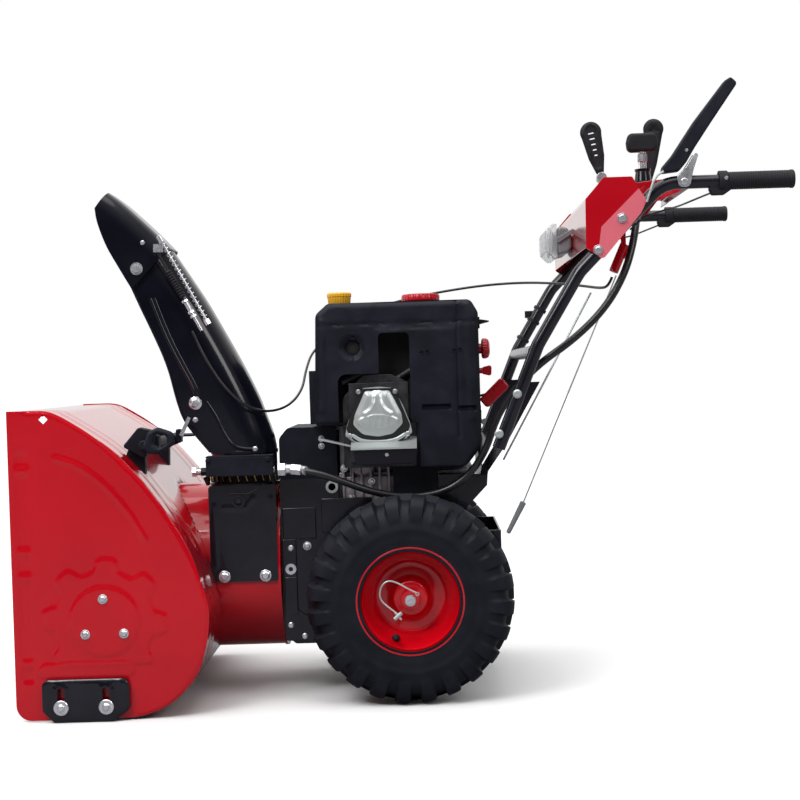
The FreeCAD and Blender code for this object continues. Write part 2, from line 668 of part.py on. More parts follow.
def lever(base, head, y, head_radius):
    """Hand lever with a rounded head, turning on a barrel in the panel."""
    barrel = rod((base[0], y - 10, base[1]), Y, 9, 20)
    stem = rod_between((base[0], y, base[1]), (head[0], y, head[1]), 8)
    grip_head = rod((head[0], y - 9, head[1]), Y, head_radius, 18)
    return fuse(barrel, stem, grip_head)


node("deflector_lever", lever((352, 884), (336, 962), -200, 18))
node("speed_lever", lever((472, 892), (489, 1010), 120, 19))

BAR = [(440, 876), (470, 880), (483, 891), (504, 916), (533, 974), (567, 1022, 5), (553, 1031, 5),
       (516, 976), (484, 918), (472, 903), (440, 886)]
left_bar = plate("XZ", BAR, 26, -handle_y + 13)
clutch_x, clutch_z = 475, 861
for y, way in ((-handle_y - tube_radius - 0.6, -Y), (-handle_y + tube_radius + 2.6, Y)):
    cheek_plate = plate("XZ", [(466, 852, 7), (484, 852, 7), (478, 898), (456, 890)], 2, y)
    boss = rod((clutch_x, y - 1, clutch_z), way, pivot_radius + 1, 4)
    left_bar = fuse(left_bar, cheek_plate, boss)
node("clutch_lever_left", left_bar)
right_bar = plate("XZ", [(441, 853, 7), (648, 853, 7), (648, 869, 7), (441, 869, 7)],
                  5, handle_y + 21)
right_pivot = rod((clutch_x, handle_y + tube_radius + 0.3, clutch_z), Y, pivot_radius + 1, 12)
node("clutch_lever_right", fuse(right_bar, right_pivot))

# --------------------------------------------------------- cables and conduit
FLEX_ROUTE = [
    (-198, worm_y, 400), (-158, -172, 394), (-112, -166, 377), (-62, -157, 356), (0, -150, 343),
    (64, -150, 349), (112, -152, 378), (143, -162, 424), (158, -190, 474), (186, -226, 522),
    (232, -256, 570), (290, -268, 608), (344, -268, 658), (380, -262, 716), (399, -246, 774),
    (410, -214, 824), (421, -168, 850), (430, knob_y, 865)]
node("flex_shaft", fuse(tube(FLEX_ROUTE, 6.5, label="flex_shaft"),
                        rod((-222, worm_y, 400), X, 12, 26)))
CABLE_ROUTE = [
    (-363, -164.5, 646), (-352, -168, 620), (-334, -170, 584), (-308, -170, 544),
    (-276, -160, 512), (-240, -132, 499), (-206, -70, 508), (-188, 20, 536), (-186, 90, 572),
    (-176, 166, 612), (-118, 202, 656), (-46, 198, 692), (20, 194, 708), (90, 190, 719),
    (164, 180, 727), (236, 110, 726), (295, 0, 716), (330, -80, 706), (350, -150, 698),
    (360, -188, 699), (364.5, -203, 713)]
node("deflector_cable", tube(CABLE_ROUTE, 2.5, label="deflector_cable"))
left_cable = fuse(rod_between((371, -212, 716), (205, -156, 330), 1.4),
                  rod_between((205, -156, 330), (176, -156, 276), 5.5))
shift_rod = rod_between((355, 60, 700), (182, 60, 392), 4)
node("control_rods", group([left_cable, shift_rod]))

# ------------------------------------------------------------------ skid shoes
shoe_face = half_width + 2 + dim("body_gap")
SHOE = [(-611, 20, 10), (-592, 0, 4), (-492, 0, 4), (-466, 20, 10), (-466, 71, 12), (-611, 71, 12)]


def shoe():
    body = plate("XZ", SHOE, "dims.shoe_thick", -shoe_face)
    for x in (-579, -504):
        slot = plate("XZ", [(x - 6, 18, 5.9), (x + 6, 18, 5.9), (x + 6, 58, 5.9), (x - 6, 58, 5.9)],
                     40, -shoe_face + 10)
        body = cut(body, slot)
    return body


node("skid_shoe_left", shoe())
node("skid_shoe_right", mirrored(shoe()))

# -------------------------------------------------------- clean-out tool
tool = Vector(-436, 0, 458)
clips = []
for y in (-215, 40):
    foot = plate("XZ", [(-474, 434), (-460, 470, 5), (-416, 470, 5), (-416, 446, 3), (-440, 438),
                        (-440, 392)], 22, y)
    clips.append(cut(foot, interior(), rod((-480, 0, impeller_z), X, drum_radius + 0.5, 200),
                     rod((tool.x, y - 30, tool.z - 4), Y, 8.3, 60),
                     box((tool.x - 8.3, y - 30, tool.z - 4), (tool.x + 8.3, y + 8, 480))))
node("tool_clip", group(clips))
tool_shaft = rod((tool.x, -280, tool.z - 4), Y, 8, 400)
loop = cut(plate("XZ", [(tool.x - 30, tool.z - 20, 14), (tool.x + 30, tool.z - 20, 14),
                        (tool.x + 30, tool.z + 20, 14), (tool.x - 30, tool.z + 20, 14)], 12, -276),
           plate("XZ", [(tool.x - 20, tool.z + 5), (tool.x + 20, tool.z + 5),
                        (tool.x + 20, tool.z + 12, 6), (tool.x - 20, tool.z + 12, 6)], 20, -272))
paddle = box((tool.x - 40, 120, tool.z - 6), (tool.x + 30, 210, tool.z - 2))
node("cleanout_tool", fuse(tool_shaft, loop, paddle))

# ----------------------------------------------------------------- fasteners
fasteners = []
for angle in (92, 212, 328):
    x = auger.x + 38 * math.cos(math.radians(angle))
    z = auger.z + 38 * math.sin(math.radians(angle))
    fasteners += both_sides(bolt((x, -half_width - 2, z), -Y, 9))
for x in (-579, -504):
    stud = rod((x, -half_width - 2, 25), -Y, 4.5, dim("shoe_thick") + 0.6)
    head = bolt((x, -half_width - 2 - dim("shoe_thick") - 0.6, 25), -Y, 10)
    fasteners += both_sides(fuse(stud, head))
for x, z in ((191, 521), (159, 456)):
    fasteners += both_sides(bolt((x, -handle_y - tube_radius, z), -Y, 9, washer=False))
for x in (-322, -250):
    fasteners.append(bolt((x, chute.y - 63, 214), -Y, 12))
for x, z in ((-206, 259), (-177, 262), (-207, 222), (-210, 123), (-186, 103)):
    fasteners += both_sides(bolt((x, -chassis_half, z), -Y, 8))
for x, z in ((371.5, 804.5), (330.6, 753.4)):
    fasteners += both_sides(bolt((x, -dash_half - 2.6, z), -Y, 8))
node("fasteners", group(fasteners))

# --------------------------------------------------------------------- output
doc.recompute()
failed = [o.Name for o in doc.Objects if {"Invalid", "Error"} & set(o.State)]
for name, obj in NODES.items():
    if obj.Shape.isNull() or not obj.Shape.isValid() or not obj.Shape.Solids:
        failed.append(name)
if failed:
    raise SystemExit("failed: " + ", ".join(failed))
os.makedirs("parts", exist_ok=True)
for name, obj in NODES.items():
    obj.Shape.exportStep(f"parts/{name}.step")
print(len(NODES), "sub-parts written")
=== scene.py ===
# Visual model of the snow blower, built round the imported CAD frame.
# Lengths are millimetres in the frame's own axes and become metres in piece().
import json
import math

import bmesh
import bpy
import numpy as np
from mathutils import Matrix, Vector


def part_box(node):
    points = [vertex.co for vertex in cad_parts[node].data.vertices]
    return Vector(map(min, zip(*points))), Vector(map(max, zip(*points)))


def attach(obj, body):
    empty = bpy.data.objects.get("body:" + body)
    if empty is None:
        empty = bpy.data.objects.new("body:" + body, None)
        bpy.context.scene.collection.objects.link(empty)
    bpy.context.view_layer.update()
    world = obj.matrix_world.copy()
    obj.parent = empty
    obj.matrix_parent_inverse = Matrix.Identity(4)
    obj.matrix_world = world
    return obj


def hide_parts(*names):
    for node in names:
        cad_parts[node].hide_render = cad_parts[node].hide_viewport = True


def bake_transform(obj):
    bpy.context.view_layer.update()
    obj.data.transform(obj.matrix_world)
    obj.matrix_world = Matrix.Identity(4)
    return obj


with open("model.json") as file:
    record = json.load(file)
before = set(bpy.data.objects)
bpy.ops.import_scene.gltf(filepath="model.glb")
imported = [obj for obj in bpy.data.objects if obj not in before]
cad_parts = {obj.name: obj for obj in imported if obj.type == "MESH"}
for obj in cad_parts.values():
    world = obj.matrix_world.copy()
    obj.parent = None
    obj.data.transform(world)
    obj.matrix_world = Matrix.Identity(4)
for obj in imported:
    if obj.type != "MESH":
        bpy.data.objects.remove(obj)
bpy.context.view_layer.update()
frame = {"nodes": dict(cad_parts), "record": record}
NODES = frame["nodes"]
MM = 0.001
X, Y, Z = Vector((1, 0, 0)), Vector((0, 1, 0)), Vector((0, 0, 1))


def box_mm(name):
    """Lowest and highest corner of a CAD node, in millimetres."""
    low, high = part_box(name)
    return low / MM, high / MM


# ================================================================ materials
def material(name, colour, rough, metal=0.0, coat=0.0, tint=0.12, grain=60.0, bump=0.0,
             bump_scale=300.0, bump_detail=3.0, spread=0.08, specular=0.5):
    """Painted, moulded or plated surface: colour and roughness drift with a soft
    noise, and a finer noise gives the skin its texture."""
    mat = bpy.data.materials.new(name)
    mat.use_nodes = True
    tree = mat.node_tree
    nodes, links = tree.nodes, tree.links
    shader = nodes["Principled BSDF"]
    shader.inputs["Metallic"].default_value = metal
    shader.inputs["Coat Weight"].default_value = coat
    shader.inputs["Coat Roughness"].default_value = 0.06
    shader.inputs["Specular IOR Level"].default_value = specular
    place = nodes.new("ShaderNodeTexCoord")
    drift = nodes.new("ShaderNodeTexNoise")
    drift.inputs["Scale"].default_value = grain
    drift.inputs["Detail"].default_value = 4
    links.new(place.outputs["Object"], drift.inputs["Vector"])
    ramp = nodes.new("ShaderNodeValToRGB")
    shades = ([c * (1 - tint) for c in colour],
              [min(1.0, c * (1 + tint) + tint * 0.01) for c in colour])
    for stop, position, shade in zip(ramp.color_ramp.elements, (0.3, 0.7), shades):
        stop.position, stop.color = position, (*shade, 1)
    links.new(drift.outputs["Fac"], ramp.inputs["Fac"])
    links.new(ramp.outputs["Color"], shader.inputs["Base Color"])
    shine = nodes.new("ShaderNodeMapRange")
    shine.inputs["To Min"].default_value = max(0.02, rough - spread)
    shine.inputs["To Max"].default_value = min(1.0, rough + spread)
    links.new(drift.outputs["Fac"], shine.inputs["Value"])
    links.new(shine.outputs["Result"], shader.inputs["Roughness"])
    if bump:
        skin = nodes.new("ShaderNodeTexNoise")
        skin.inputs["Scale"].default_value = bump_scale
        skin.inputs["Detail"].default_value = bump_detail
        links.new(place.outputs["Object"], skin.inputs["Vector"])
        relief = nodes.new("ShaderNodeBump")
        relief.inputs["Strength"].default_value = bump
        relief.inputs["Distance"].default_value = 0.0006
        links.new(skin.outputs["Fac"], relief.inputs["Height"])
        links.new(relief.outputs["Normal"], shader.inputs["Normal"])
    return mat


SLOT_OF, CAD_FINISH = {}, {}


def finish(slot, name, colour, rough, **options):
    """Material of a slot; the first one of each slot also dresses the CAD nodes."""
    mat = material(name, colour, rough, **options)
    SLOT_OF[mat] = slot
    CAD_FINISH.setdefault(slot, mat)
    return mat


RED = finish("red_paint", "red_enamel", (0.54, 0.001, 0.009), 0.22, coat=0.6, specular=0.2,
             tint=0.06, grain=7, bump=0.06, bump_scale=260, spread=0.05)
RIM_RED = finish("red_paint", "rim_enamel", (0.56, 0.001, 0.008), 0.17, coat=0.7, specular=0.3,
                 tint=0.08, grain=9, bump=0.05, bump_scale=300, spread=0.05)
BLACK = finish("black_paint", "black_enamel", (0.004, 0.004, 0.009), 0.24, coat=0.3, specular=0.35,
               tint=0.25, grain=30, bump=0.08, bump_scale=340)
GLOSS = finish("black_gloss", "gloss_black", (0.003, 0.003, 0.008), 0.2, coat=0.3, specular=0.25,
               tint=0.25, grain=12, bump=0.03, bump_scale=220, spread=0.04)
PLASTIC = finish("black_plastic", "textured_black", (0.006, 0.007, 0.014), 0.5, tint=0.3,
                 specular=0.2, grain=25, bump=0.45, bump_scale=1400, bump_detail=6)
SOFT_BLACK = finish("rubber", "grip_rubber", (0.008, 0.008, 0.012), 0.6, specular=0.3, tint=0.3,
                    grain=50, bump=0.5, bump_scale=1100, bump_detail=6)
TYRE = finish("tyre", "tyre_rubber", (0.005, 0.006, 0.011), 0.6, tint=0.35, specular=0.2, grain=22,
              bump=0.35, bump_scale=600, bump_detail=8, spread=0.12)
ZINC = finish("zinc", "zinc_plate", (0.72, 0.73, 0.76), 0.26, metal=0.8, tint=0.16, grain=90,
              bump=0.12, bump_scale=700, spread=0.12)
BRIGHT = finish("bright_steel", "bright_steel", (0.52, 0.56, 0.55), 0.3, metal=0.5, tint=0.06,
                grain=30, bump=0.06, bump_scale=500, spread=0.05)
ALLOY = finish("alloy", "cast_alloy", (0.34, 0.31, 0.34), 0.42, metal=0.45, tint=0.25, grain=70,
               bump=0.7, bump_scale=900, bump_detail=8, spread=0.14)
# Near-black alloy for the cylinder fins, much darker than the cast alloy.
DARK_ALLOY = finish("alloy", "dark_fin_alloy", (0.05, 0.05, 0.055), 0.45, metal=0.8, tint=0.3,
                    grain=60, bump=0.6, bump_scale=800, bump_detail=6)
IRON = finish("iron", "black_casting", (0.018, 0.018, 0.02), 0.55, metal=0.2, tint=0.3, grain=60,
              bump=0.7, bump_scale=700, bump_detail=8)
BRASS = finish("brass", "yellow_zinc", (0.52, 0.40, 0.16), 0.34, metal=1, tint=0.2, grain=80,
               bump=0.15, bump_scale=500)
GREY = finish("grey_plastic", "grey_plastic", (0.20, 0.21, 0.22), 0.32, tint=0.1, grain=40,
              bump=0.1, bump_scale=700)
RED_PLASTIC = finish("red_plastic", "red_plastic", (0.46, 0.003, 0.012), 0.27, coat=0.2,
                     specular=0.3, tint=0.08, grain=40, bump=0.12, bump_scale=800)
YELLOW = finish("yellow_plastic", "yellow_plastic", (0.82, 0.43, 0.02), 0.33, coat=0.15, tint=0.08,
                grain=40, bump=0.12, bump_scale=800)
CABLE = finish("rubber", "cable_sheath", (0.008, 0.008, 0.01), 0.33, coat=0.15, tint=0.3, grain=60,
               bump=0.2, bump_scale=1200)
LENS = finish("lens", "clear_lens", (0.80, 0.83, 0.86), 0.08, tint=0.04, grain=40, bump=0.15,
              bump_scale=120)
# Flat near-black for painted shade: dark pieces set in openings, recesses and behind covers where
# there is only shadow.
SHADOW = finish("black_plastic", "painted_shade_black", (0.004, 0.004, 0.004), 0.85, tint=0.2, grain=40,
                bump=0.1)
WET_RED = finish("red_paint", "wet_enamel", (0.50, 0.001, 0.009), 0.2, coat=1.0, tint=0.06, grain=7,
                 bump=0.06, bump_scale=260, spread=0.05)
clear = LENS.node_tree.nodes["Principled BSDF"].inputs
clear["Alpha"].default_value, clear["Transmission Weight"].default_value = 0.5, 0.35
for subpart in frame["record"]["subparts"]:
    data = NODES[subpart["node"]].data
    data.materials.clear()
    data.materials.append(CAD_FINISH[subpart["material_slot"]])


# ================================================================== helpers
def show(obj):
    bpy.context.scene.collection.objects.link(obj)
    return obj


def piece(name, verts, faces, mat, body, nodes=(), angle=32):
    """Mesh piece from millimetre points, riding on a CAD body; edges sharper than
    angle stay sharp."""
    mesh = bpy.data.meshes.new(name)
    mesh.from_pydata([tuple(Vector(v) * MM) for v in verts], [], [tuple(f) for f in faces])
    mesh.validate()
    bm = bmesh.new()
    bm.from_mesh(mesh)
    bmesh.ops.remove_doubles(bm, verts=bm.verts, dist=1e-6)
    bmesh.ops.recalc_face_normals(bm, faces=bm.faces)
    bm.to_mesh(mesh)
    bm.free()
    mesh.materials.append(mat)
    mesh.shade_smooth()
    mesh.set_sharp_from_angle(angle=math.radians(angle))
    obj = show(bpy.data.objects.new(name, mesh))
    if nodes:
        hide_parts(*nodes)
    if body:
        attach(obj, body)
    return obj


def bevel(obj, width, segments=3, angle=30):
    """Round every edge sharper than angle."""
    round_edges = obj.modifiers.new("bevel", "BEVEL")
    round_edges.width = width * MM
    round_edges.segments = segments
    round_edges.limit_method = "ANGLE"
    round_edges.angle_limit = math.radians(angle)


def frame_of(direction):
    """Two unit vectors square to direction, and direction itself."""
    w = Vector(direction).normalized()
    u = w.cross(Z if abs(w.z) < 0.9 else X).normalized()
    return u, w.cross(u), w


class Shape:
    """Points and faces gathered into one mesh."""

    def __init__(self):
        self.verts, self.faces = [], []

    def add(self, verts, faces):
        base = len(self.verts)
        self.verts += [Vector(v) for v in verts]
        self.faces += [[base + i for i in f] for f in faces]
        return self

    def lathe(self, profile, at, direction, sides=48, closed=False):
        """Turn (radius, height) points about direction."""
        u, v, w = frame_of(direction)
        count, verts = len(profile), []
        for k in range(sides):
            a = 2 * math.pi * k / sides
            ray = u * math.cos(a) + v * math.sin(a)
            verts += [Vector(at) + ray * r + w * t for r, t in profile]
        faces = []
        spans = count if closed else count - 1
        for k in range(sides):
            for i in range(spans):
                j = (i + 1) % count
                a, b = k * count, ((k + 1) % sides) * count
                faces.append([a + i, b + i, b + j, a + j])
        return self.add(verts, faces)

    def rod(self, start, end, radius, sides=20, chamfer=0.0, tip=None):
        """Cylinder with chamfered rims, tapering to radius tip."""
        span, c = Vector(end) - Vector(start), chamfer
        length, far = span.length, radius if tip is None else tip
        profile = [(0, 0), (radius, 0), (far, length), (0, length)]
        if c:
            profile[1:3] = [(radius - c, 0), (radius, c), (far, length - c), (far - c, length)]
        return self.lathe(profile, start, span, sides)

    def block(self, low, high):
        (x0, y0, z0), (x1, y1, z1) = low, high
        verts = [(x, y, z) for x in (x0, x1) for y in (y0, y1) for z in (z0, z1)]
        return self.add(verts, [(0, 1, 3, 2), (4, 6, 7, 5), (0, 4, 5, 1), (2, 3, 7, 6),
                                (0, 2, 6, 4), (1, 5, 7, 3)])

    def slab(self, points, low, high, plane="XZ"):
        """Polygon in the plane, thickened from low to high along its normal."""
        def at(p, d):
            return {"XZ": (p[0], d, p[1]), "YZ": (d, p[0], p[1]), "XY": (p[0], p[1], d)}[plane]
        n = len(points)
        verts = [at(p, low) for p in points] + [at(p, high) for p in points]
        faces = [list(range(n)), list(range(2 * n - 1, n - 1, -1))]
        faces += [[i, (i + 1) % n, n + (i + 1) % n, n + i] for i in range(n)]
        return self.add(verts, faces)

    def hexagon(self, at, direction, across, height):
        """Hex head with a chamfered top."""
        u, v, w = frame_of(direction)
        r, verts, faces = across / math.sqrt(3), [], []
        for radius, level in ((r, 0), (r, height * 0.8), (r * 0.86, height)):
            for k in range(6):
                a = math.pi / 3 * k
                verts.append(Vector(at) + (u * math.cos(a) + v * math.sin(a)) * radius + w * level)
        for ring in (0, 6):
            for k in range(6):
                j = (k + 1) % 6
                faces.append([ring + k, ring + j, ring + 6 + j, ring + 6 + k])
        faces += [list(range(5, -1, -1)), list(range(12, 18))]
        return self.add(verts, faces)

    def bolt(self, at, direction, size, washer=True):
        """Flanged hex bolt head on a washer, standing on a surface."""
        w = Vector(direction).normalized()
        start = Vector(at)
        if washer:
            self.lathe([(0, 0), (size * 1.15, 0), (size * 1.15, 1.2), (size * 1.08, 1.6),
                        (0, 1.6)], start, w, 28)
            start = start + w * 1.6
        self.lathe([(0, 0), (size * 0.82, 0), (size * 0.82, 0.7), (size * 0.62, 1.8), (0, 1.8)],
                   start, w, 28)
        return self.hexagon(start + w * 1.2, w, size * 1.15, size * 0.45)

    def sweep(self, path, radius, sides=12):
        """Round bar along dense path points, with flat ends."""
        path = [Vector(p) for p in path]
        count = len(path)
        u = frame_of(path[1] - path[0])[0]
        verts = []
        for i, here in enumerate(path):
            ahead = path[min(i + 1, count - 1)] - path[max(i - 1, 0)]
            ahead.normalize()
            u = (u - ahead * u.dot(ahead)).normalized()
            v = ahead.cross(u)
            for k in range(sides):
                a = 2 * math.pi * k / sides
                verts.append(here + (u * math.cos(a) + v * math.sin(a)) * radius)
        faces = []
        for i in range(count - 1):
            for k in range(sides):
                j = (k + 1) % sides
                faces.append([i * sides + k, i * sides + j, (i + 1) * sides + j,
                              (i + 1) * sides + k])
        faces += [list(range(sides - 1, -1, -1)), list(range((count - 1) * sides, count * sides))]
        return self.add(verts, faces)

    def mirror(self):
        """Add the copy on the operator's right."""
        base = len(self.verts)
        self.verts += [Vector((v.x, -v.y, v.z)) for v in self.verts]
        self.faces += [[base + i for i in reversed(f)] for f in self.faces]
        return self

    def make(self, name, mat, body, nodes=(), **options):
        return piece(name, self.verts, self.faces, mat, body, nodes, **options)


def rounded(points, steps=6):
    """Polygon whose corners (a, b, radius) become arcs."""
    line = []
    for i, p in enumerate(points):
        here = Vector(p[:2])
        if len(p) < 3:
            line.append(tuple(here))
            continue
        u = (Vector(points[i - 1][:2]) - here).normalized()
        v = (Vector(points[(i + 1) % len(points)][:2]) - here).normalized()
        half = u.angle(v) / 2
        reach = p[2] / math.tan(half)
        centre = here + (u + v).normalized() * (p[2] / math.sin(half))
        start, end = here + u * reach - centre, here + v * reach - centre
        turn = start.angle_signed(end)
        for k in range(steps + 1):
            arc = start.copy()
            arc.rotate(Matrix.Rotation(-turn * k / steps, 2))
            line.append(tuple(centre + arc))
    return line


def smooth_profile(points, steps=5):
    """Catmull-Rom line through profile points."""
    line = []
    pts = [np.array(p, float) for p in points]
    for i in range(len(pts) - 1):
        p0, p1 = pts[max(i - 1, 0)], pts[i]
        p2, p3 = pts[i + 1], pts[min(i + 2, len(pts) - 1)]
        for k in range(steps):
            t = k / steps
            line.append(tuple(0.5 * (2 * p1 + (p2 - p0) * t + (2 * p0 - 5 * p1 + 4 * p2 - p3) * t * t
                                     + (3 * p1 - p0 - 3 * p2 + p3) * t ** 3)))
    line.append(tuple(pts[-1]))
    return line


def curve_points(points, per_run=8):
    """Smooth line of the quadratic NURBS spline with these control points."""
    data = bpy.data.curves.new("route", "CURVE")
    data.dimensions = "3D"
    spline = data.splines.new("NURBS")
    spline.points.add(len(points) - 1)
    for spot, p in zip(spline.points, points):
        spot.co = (*p, 1)
    spline.order_u = 3
    spline.use_endpoint_u = True
    spline.resolution_u = per_run
    route = bpy.data.objects.new("route", data)
    mesh = bpy.data.meshes.new_from_object(route)
    line = [v.co.copy() for v in mesh.vertices]
    bpy.data.objects.remove(route)
    bpy.data.curves.remove(data)
    bpy.data.meshes.remove(mesh)
    return line


def smooth_step(low, high, t):
    """0 below low, 1 above high, eased between them."""
    t = np.clip((t - low) / (high - low), 0, 1)
    return t * t * (3 - 2 * t)


def stamped(name, outline, step, height, place, mat, body, nodes=(), gauge=2.5, holes=(),
            angle=40, moulded=False):
    """Pressed sheet: the outline is cut into a fine grid, pushed out by
    height(a, b), placed by place(a, b, h) and given its thickness.  A moulded
    piece has the same relief on both faces."""
    bm = bmesh.new()
    loops = [outline, *holes]
    edges = []
    for loop in loops:
        ring = [bm.verts.new((a, b, 0)) for a, b in loop]
        edges += [bm.edges.new((ring[i], ring[(i + 1) % len(ring)])) for i in range(len(ring))]
    bmesh.ops.triangle_fill(bm, edges=edges, use_beauty=True, normal=(0, 0, 1))
    low = [min(p[i] for p in outline) for i in (0, 1)]
    high = [max(p[i] for p in outline) for i in (0, 1)]
    for i in (0, 1):
        normal = [0, 0, 0]
        normal[i] = 1
        spot = low[i] + step / 2
        while spot < high[i]:
            at = [0, 0, 0]
            at[i] = spot
            bmesh.ops.bisect_plane(bm, geom=bm.verts[:] + bm.edges[:] + bm.faces[:],
                                   plane_co=at, plane_no=normal)
            spot += step
    co = np.array([v.co[:2] for v in bm.verts])
    lift = height(co[:, 0], co[:, 1])
    bmesh.ops.recalc_face_normals(bm, faces=bm.faces)
    outer = [Vector(place(a, b, h)) for (a, b), h in zip(co, lift)]
    inner = [Vector(place(a, b, -h if moulded else h - gauge)) for (a, b), h in zip(co, lift)]
    bm.verts.index_update()
    count = len(outer)
    faces = [[v.index for v in f.verts] for f in bm.faces]
    rim = [(e.verts[0].index, e.verts[1].index) for e in bm.edges if len(e.link_faces) == 1]
    faces += [[count + i for i in reversed(f)] for f in faces]
    faces += [[a, b, count + b, count + a] for a, b in rim]
    bm.free()
    return piece(name, outer + inner, faces, mat, body, nodes, angle=angle)


def near_line(a, b, line):
    """Distance from points to a polyline."""
    best = np.full(a.shape, 1e9)
    for (x0, y0), (x1, y1) in zip(line, line[1:]):
        dx, dy = x1 - x0, y1 - y0
        t = np.clip(((a - x0) * dx + (b - y0) * dy) / (dx * dx + dy * dy), 0, 1)
        best = np.minimum(best, np.hypot(a - x0 - t * dx, b - y0 - t * dy))
    return best


def bead(a, b, line, width, height):
    """Rounded rib pressed along a line."""
    return height * (1 - smooth_step(0, width, near_line(a, b, line)))


def on_side(sign, surface):
    """Place a stamped sheet on the left (-1) or right (1) of the machine."""
    return lambda a, b, h: (a, sign * (surface + h), b)


SIDES = (("left", -1), ("right", 1))

# =================================================================== wheels
AXLE = (box_mm("axle")[0] + box_mm("axle")[1]) / 2
TYRE_LOW, TYRE_HIGH = box_mm("tyre_left")
TYRE_RADIUS = (TYRE_HIGH.z - TYRE_LOW.z) / 2
LUG_COUNT, LUG_STEPS, LUG_HEIGHT = 24, 16, 11.0
BEAD_RADIUS = 84


def tyre(name):
    """Carcass with two staggered rows of chunky shoulder lugs."""
    low, high = box_mm("tyre_" + name)
    centre, half = (low.y + high.y) / 2, (high.y - low.y) / 2
    section = []
    for k in range(61):
        t = k / 60
        across = -math.cos(math.pi * t)
        wide = half * math.copysign(abs(across) ** 0.62, across)
        rise = math.sin(math.pi * t) ** 0.55
        r = BEAD_RADIUS + (TYRE_RADIUS - LUG_HEIGHT - BEAD_RADIUS) * rise
        if abs(wide) > half - 0.5:
            wide = math.copysign(half - 3, wide)
        section.append((r, wide))
    around = LUG_COUNT * LUG_STEPS
    verts, faces = [], []
    for k in range(around):
        a = 2 * math.pi * k / around
        for r, wide in section:
            row = 0.0 if wide < 0 else 0.5
            phase = (k / LUG_STEPS + row + 0.10 * abs(wide) / half) % 1.0
            block = (smooth_step(0.12, 0.20, phase) * (1 - smooth_step(0.70, 0.79, phase)))
            span = abs(wide) / half
            reach = smooth_step(TYRE_RADIUS - 40, TYRE_RADIUS - 26, r)
            crown = smooth_step(0.04, 0.12, span)
            lift = LUG_HEIGHT * float(block * reach * crown)
            side = 2.2 * float(block * smooth_step(TYRE_RADIUS - 46, TYRE_RADIUS - 36, r)
                               * (1 - smooth_step(TYRE_RADIUS - 13, TYRE_RADIUS - 9, r)))
            ring = 1.2 * math.exp(-((r - 108) / 3.0) ** 2) + 0.9 * math.exp(-((r - 95) / 2) ** 2)
            out = math.copysign(min(abs(wide) + side + ring, half), wide)
            up = min(r + lift, TYRE_RADIUS)
            verts.append((AXLE.x + up * math.sin(a), centre + out, AXLE.z + up * math.cos(a)))
    count = len(section)
    for k in range(around):
        for i in range(count - 1):
            a, b = k * count, ((k + 1) % around) * count
            faces.append([a + i, a + i + 1, b + i + 1, b + i])
    return piece("tyre_cover_" + name, verts, faces, TYRE, "drive", ["tyre_" + name], angle=40)


RIM_PROFILE = [(10, 10), (26, 10), (30, 7), (34, -4), (40, -9), (56, -11), (61, -8), (64, 0),
               (67, 8), (71, 16), (76, 27), (80, 36), (84, 41), (88, 44), (91, 47.5), (92.4, 49.5),
               (92.5, 51), (91, 52), (88.5, 51.5), (86, 49), (84, 45), (82, 40), (82, -40),
               (88, -46), (92, -50), (91, -51.5), (86, -49), (80, -44), (76, -32), (68, -14),
               (40, -13), (10, -13)]


def rim(name, sign):
    centre = (TYRE_LOW.y + TYRE_HIGH.y) / 2 * (1 if sign < 0 else -1)
    at, out = (AXLE.x, centre, AXLE.z), Vector((0, sign, 0))
    disc = Shape().lathe(smooth_profile(RIM_PROFILE, 3), at, out, 128)
    disc.make("rim_dish_" + name, RIM_RED, "drive", ["rim_" + name], angle=38)
    hub = Shape().lathe([(9.6, 6), (17, 6), (17, 30), (15.5, 32), (9.6, 32)], at, out, 40)
    hub.make("hub_sleeve_" + name, RIM_RED, "drive")
    stem = Vector((AXLE.x - 27, centre + sign * 18, AXLE.z - 67))
    valve = Shape().lathe([(0, 0), (7, 0), (7.5, 3), (4.4, 9), (3.9, 24), (4.6, 25), (4.6, 34),
                           (3.6, 36), (0, 36)], stem, out + Z * 0.25, 20)
    valve.make("valve_stem_" + name, SOFT_BLACK, "drive")


def lynch_pin(name, sign):
    """Spring clip on the axle end: straight pin, collar and a D of wire."""
    low, high = box_mm("lynch_pins")
    y = sign * (high.y - 2.6)
    def at(x, z):
        return (AXLE.x + x, y, AXLE.z + z)
    wire = [at(-21, -22), at(-34, -12), at(-52, 4), at(-50, 26), at(-36, 37), at(-18, 30),
            at(-2, 20), at(10, 14)]
    clip = Shape().sweep(curve_points(wire, 10), 1.5, 12)
    clip.rod(at(-28, -30), at(-15, -19), 3.6, 16, 0.8)
    clip.rod(at(-27, -18), at(-16, -31), 2.0, 12, 0.5)
    clip.lathe([(1.6, -1.4), (3.6, -1.4), (3.6, 1.4), (1.6, 1.4)], at(12, 12), Y, 16, closed=True)
    clip.make("lynch_pin_" + name, BRIGHT, "drive", ["lynch_pins"] if sign < 0 else [])
    end = Shape().lathe([(0, 0), (2.2, 0), (2.8, 1.2), (8.4, 1.2), (9.4, 0), (9.4, -26), (0, -26)],
                        (AXLE.x, sign * (box_mm("axle")[1].y - 0.2), AXLE.z), Vector((0, sign, 0)),
                        32)
    end.make("axle_end_" + name, ZINC, "drive")


for side, sign in SIDES:
    tyre(side)
    rim(side, sign)
    lynch_pin(side, sign)

# ================================================================== housing
BEARING = (box_mm("auger_shaft")[0] + box_mm("auger_shaft")[1]) / 2
FRONT_X = box_mm("side_plate_left")[0].x
SIDE_CURVE = [(-625, 518), (-585, 515), (-541, 491), (-502, 462.5), (-461, 424), (-423, 380),
              (-385, 321), (-354, 258), (-335, 200), (-331, 165), (-337, 119), (-352, 77),
              (-375, 45), (-402, 22.5), (-430, 10), (-458, 4), (-500, 2)]
DIAMOND = [(-604, 503), (-596, 511), (-588, 503), (-596, 495)]
SIDE_FACE = 307.0


